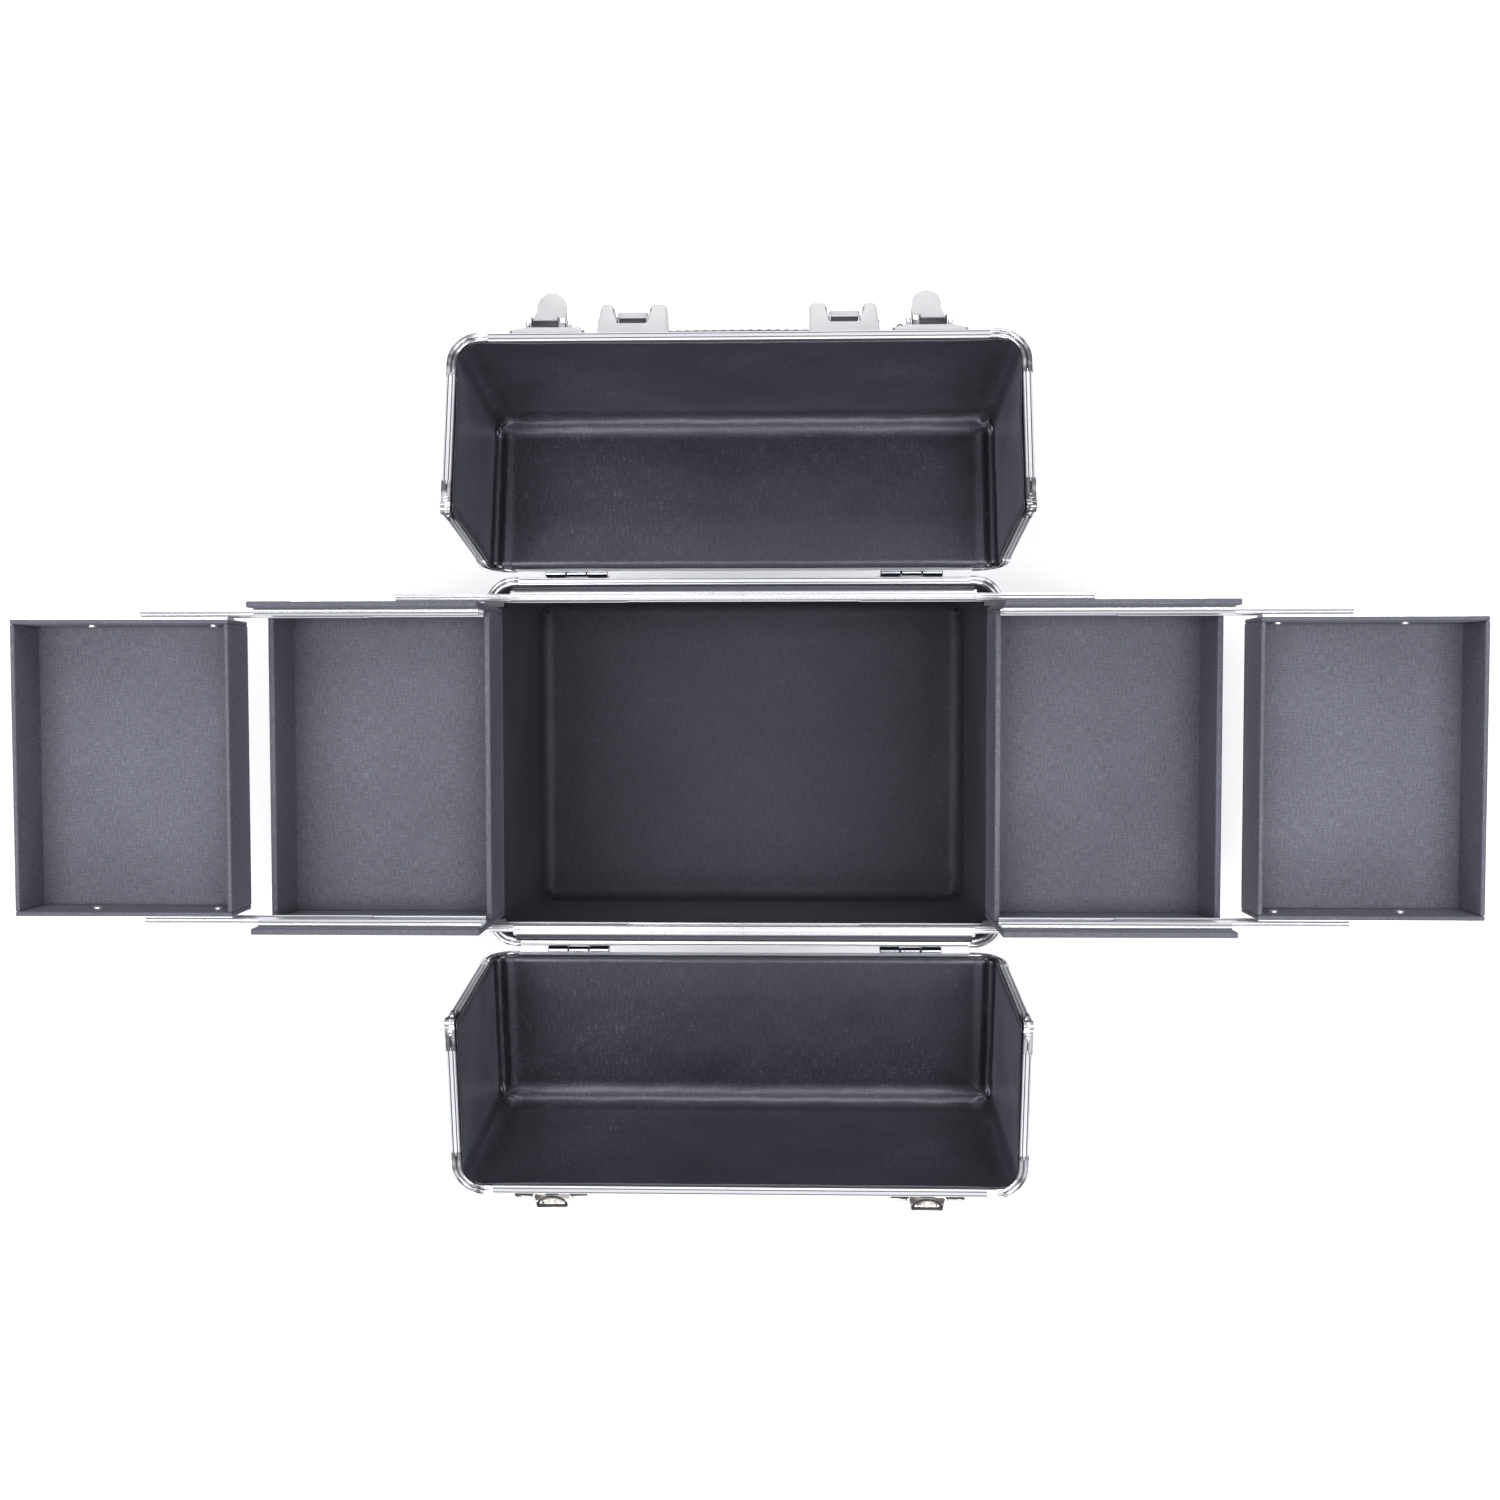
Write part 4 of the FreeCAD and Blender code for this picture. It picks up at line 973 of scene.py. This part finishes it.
def latch_plates():
    """Latch plates, each with two cheeks, two screws and a small lug."""
    plates, bright, gap_shade = [bmesh.new() for _ in range(3)]
    seat = LID_TOP + 3.5
    for end in (1, -1):
        middle = end * LATCH_X
        outline = [(-23.75, LID_TOP), (-23.6, LID_TOP + 1.2), (-20.0, LID_TOP + 2.7), (-13.0, seat),
                   (13.0, seat), (20.0, LID_TOP + 2.7), (23.6, LID_TOP + 1.2), (23.75, LID_TOP)]
        add_plate(plates, outline, middle, 1, PLATE_LOW_A, PLATE_HIGH_A, 0.6)
        for cheek in (1, -1):
            high = LEVER_B + (3.0 if cheek == -end else 2.4)
            add_block(bright, middle + cheek * 13.0, 1.4, (LEVER_A - 3.4, seat - 0.5),
                      (LEVER_A + 3.4, high), 0.7, 3)
            # Near-black strips beside each cheek and under the plate's ends: painted shade in the
            # gaps.
            add_block(gap_shade, middle + cheek * 15.2, 0.5, (LEVER_A - 2.8, seat - 0.2),
                      (LEVER_A + 2.8, seat + 2.2), 0.3)
            add_block(gap_shade, middle + cheek * 22.4, 0.5, (PLATE_HIGH_A - 3.0, LID_TOP + 0.2),
                      (PLATE_HIGH_A + 0.2, LID_TOP + 1.7), 0.3)
        lug = middle - end * 18.2
        add_lathe(bright, [(0, 3.9), (1.4, 3.6), (2.2, 2.7), (2.5, 1.4), (2.5, -0.6), (0, -0.6)],
                  (lug, LEVER_A, seat), Z_DIR, X_DIR, 20)
        for away in (1, -1):
            screw_head(bright, (middle + away * 18.6, PLATE_HIGH_A - 6.0, LID_TOP + 2.7), Z_DIR,
                       X_DIR, 1.9, 0.9)
    piece("latch_base_plates", plates, GREY_PAINT, "back_lid", ("back_lid_latch_plates",),
          lid_map(1), 35)
    piece("latch_cheeks", bright, CHROME, "back_lid", (), lid_map(1))
    piece("latch_plate_gap_shade", gap_shade, PAINTED_SHADE_DARK, "back_lid", (), lid_map(1))


def latch_levers():
    """Dome-shaped latch tongues with their pivot barrels and cams; the barrels are near-black,
    painted shade in the latch's recess.
    """
    for word, end in ENDS:
        middle = end * LATCH_X
        body = word + "_latch"
        lever, barrel, shine = [bmesh.new() for _ in range(3)]
        half = 9.4
        dome = arc_points(0, LEVER_B + 12.9, half - 0.3, 172, 8, 16)
        outline = [(-half, LEVER_B + 3.6), (-half, LEVER_B + 9.0)] + dome
        outline += [(half, LEVER_B + 9.0), (half + 0.1, LEVER_B + 6.2), (half + 2.2, LEVER_B + 5.6),
                    (half + 2.2, LEVER_B + 3.6)]
        add_plate(lever, outline, middle - end * 1.6, end, LEVER_A - 1.9, LEVER_A + 1.9, 1.0)
        # The pivot barrel, its web and two thin strips are near-black: painted shade in the recess.
        add_lathe(barrel, knuckle(2.9, 10.8, 0.4), (middle, LEVER_A, LEVER_B), X_DIR, Y_DIR, 20)
        add_block(barrel, middle, 9.6, (LEVER_A - 1.2, LEVER_B), (LEVER_A + 1.2, LEVER_B + 4.0),
                  0.3)
        add_block(shine, middle - end * 8.4, 2.2, (LEVER_A - 3.0, LEVER_B - 2.6),
                  (LEVER_A + 3.2, LEVER_B + 4.6), 0.6, 3)
        for x in (-5.8, 10.6):
            add_block(barrel, middle + end * x, 0.35, (LEVER_A - 2.6, LEVER_B - 1.5),
                      (LEVER_A + 2.4, LEVER_B + 5.6), 0.2)
        piece(body + "_tongue", lever, GREY_PAINT, body, (body + "_lever",),
              lid_map(1), 35)
        piece(body + "_barrel_painted_shade", barrel, PAINTED_SHADE_DARK, body, (), lid_map(1))
        piece(body + "_cam", shine, CHROME, body, (), lid_map(1))


def catches():
    """Nickel keepers on the front lid: a pressed plate with a D-shaped pocket standing on it."""
    metal, dark = bmesh.new(), bmesh.new()
    face = PLATE_HIGH_A
    deep = LID_TOP + 10.2
    for end in (1, -1):
        middle = end * CATCH_X
        for away in (1, -1):
            wing = [(12.5, LID_TOP), (12.5, LID_TOP + 2.9), (21.4, LID_TOP + 2.9),
                    (23.0, LID_TOP + 2.2), (23.75, LID_TOP + 0.8), (23.75, LID_TOP)]
            add_plate(metal, wing, middle, away, PLATE_LOW_A, face, 0.7)
        side = [(12.0, LID_TOP), (10.4, LID_TOP + 1.8), (9.7, LID_TOP + 4.0), (10.2, LID_TOP + 7.0),
                (10.2, deep - 1.2), (9.4, deep)]
        outline = side + [(-x, b) for x, b in reversed(side)]
        add_plate(metal, outline, middle, 1, PLATE_LOW_A, face - 0.8, 0.9)
        # The near-black pieces are painted shade: a line round the D-shaped pocket, blocks at its
        # top and sides, and strips along the plate's foot.
        arch = [(x, deep - 3.0 - (b - deep) * 0.55)
                for x, b in arc_points(middle, deep, 8.6, 0, 180, 16)]
        stations = []
        for i, (x, b) in enumerate(arch):
            near, far = arch[max(i - 1, 0)], arch[min(i + 1, len(arch) - 1)]
            across = Vector((far[1] - near[1], 0, near[0] - far[0])).normalized()
            stations.append(((x, face - 0.8, b), across, Y_DIR))
        turns = [k * math.pi / 4 for k in range(8)]
        add_sweep(dark, [(0.7 * math.cos(t), 0.9 * math.sin(t)) for t in turns], stations)
        add_block(dark, middle, 9.3, (face - 1.8, deep - 2.5), (face + 0.1, deep - 1.1), 0.4)
        for away in (1, -1):
            add_block(dark, middle + away * 9.3, 0.5, (face - 1.8, deep - 4.0),
                      (face + 0.1, deep - 1.3), 0.3)
            add_block(dark, middle + away * 17.2, 5.6, (face - 1.6, LID_TOP + 0.2),
                      (face + 0.2, LID_TOP + 1.3), 0.3)
            add_block(metal, middle + away * 3.9, 2.6, (face - 1.6, deep - 5.6),
                      (face - 0.1, deep - 3.2), 0.7, 3)
        add_block(dark, middle, 4.0, (face - 1.6, LID_TOP + 0.2), (face - 0.4, LID_TOP + 1.2), 0.3)
    piece("front_catch_keepers", metal, NICKEL, "front_lid", ("front_lid_catches",),
          lid_map(-1))
    piece("front_catch_pocket_shade", dark, PAINTED_SHADE_DARK, "front_lid", (), lid_map(-1))


# ------------------------ CAD pieces that stay

def finish_cad():
    """Materials and small edge rounds for the CAD pieces that stay in view."""
    choice = {}
    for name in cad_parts:
        if name.endswith(("slide_strips", "screws")):
            choice[name] = (STRIP_STEEL, 0.4)
        elif "hinge" in name:
            choice[name] = (HINGE_STEEL_PAINTED_SHADE, 0.3)
    for name in ("case_long_panels", "case_end_panels", "case_bottom_panel"):
        choice[name] = (PANEL, 0.0)
    choice["case_corner_posts"] = (RAIL_UP, 0.2)
    choice["case_base_rails"] = (RAIL_X, 0.4)
    for word, side in LIDS:
        for part in ("top_panel", "wall_panel", "side_panels"):
            choice["%s_lid_%s" % (word, part)] = (PANEL_LID[side], 0.0)
    for name, (material, radius) in choice.items():
        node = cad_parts[name]
        node.data.materials.clear()
        node.data.materials.append(material)
        if radius:
            bevel = node.modifiers.new("edge_round", "BEVEL")
            bevel.width = radius * MM
            bevel.segments = 2
            bevel.limit_method = "ANGLE"
            bevel.angle_limit = math.radians(50)
            bevel.harden_normals = True


# ------------------------ stage

def studio_world():
    """A soft room: a bright ceiling, and a dark band above the floor that metal edges pick up."""
    world = bpy.data.worlds.new("studio")
    world.use_nodes = True
    tree = world.node_tree
    direction = tree.nodes.new("ShaderNodeTexCoord")
    parts = tree.nodes.new("ShaderNodeSeparateXYZ")
    ramp = tree.nodes.new("ShaderNodeValToRGB")
    tree.links.new(direction.outputs["Generated"], parts.inputs[0])
    tree.links.new(parts.outputs["Z"], ramp.inputs["Fac"])
    tree.links.new(ramp.outputs["Color"], tree.nodes["Background"].inputs["Color"])
    greys = ((0.0, 1.0), (0.1, 0.95), (0.2, 0.3), (0.4, 0.22), (0.52, 0.6), (0.7, 0.9),
             (0.9, 1.0), (1.0, 1.0))
    fill_ramp(ramp, [(place, (grey, grey, grey * 1.04)) for place, grey in greys])
    tree.nodes["Background"].inputs["Strength"].default_value = WORLD_STRENGTH
    return world


def stage():
    """Floor, four large soft lamps and the room."""
    bpy.ops.mesh.primitive_plane_add(size=12)
    floor = bpy.context.object
    floor.name = "floor"
    floor.data.materials.append(pale_floor())

    def area(name, place, target, size, power):
        light = bpy.data.lights.new(name, "AREA")
        light.shape = "RECTANGLE"
        light.size, light.size_y = size
        light.energy = power
        lamp = bpy.data.objects.new(name, light)
        lamp.location = place
        lamp.rotation_euler = (Vector(target) - Vector(place)).to_track_quat("-Z", "Y").to_euler()
        bpy.context.collection.objects.link(lamp)

    for word, end in ENDS:
        area(word + "_softbox", (end, 0.0, 2.3), (0, 0, 0.2), (0.6, 1.4), SIDE_WATTS)
    for word, side in LIDS:
        area(word + "_softbox", (0.0, side * 2.2, 1.6), (0, 0, 0.2), (1.4, 1.2), LONG_WATTS)
    bpy.context.scene.world = studio_world()
    bpy.context.scene.view_settings.view_transform = "Standard"


def camera():
    """High above the middle, looking almost straight down."""
    lens = bpy.data.cameras.new("camera")
    lens.sensor_width = 36.0
    lens.lens = 34.67
    lens.clip_end = 50.0
    eye = bpy.data.objects.new("camera", lens)
    tilt_x = math.radians(2.24)
    tilt_y = math.radians(-1.59)
    turn = Matrix.Rotation(tilt_y, 3, "Y") @ Matrix.Rotation(tilt_x, 3, "X")
    place = Vector((32.2, 48.1, RIM_Z + 1004.7)) * MM
    eye.matrix_world = Matrix.Translation(place) @ turn.transposed().to_4x4()
    bpy.context.collection.objects.link(eye)
    bpy.context.scene.camera = eye


camera()
lids()
case_rims()
case_inside()
feet()
trays()
slides()
handle_brackets()
handle()
latch_plates()
latch_levers()
catches()
finish_cad()
stage()
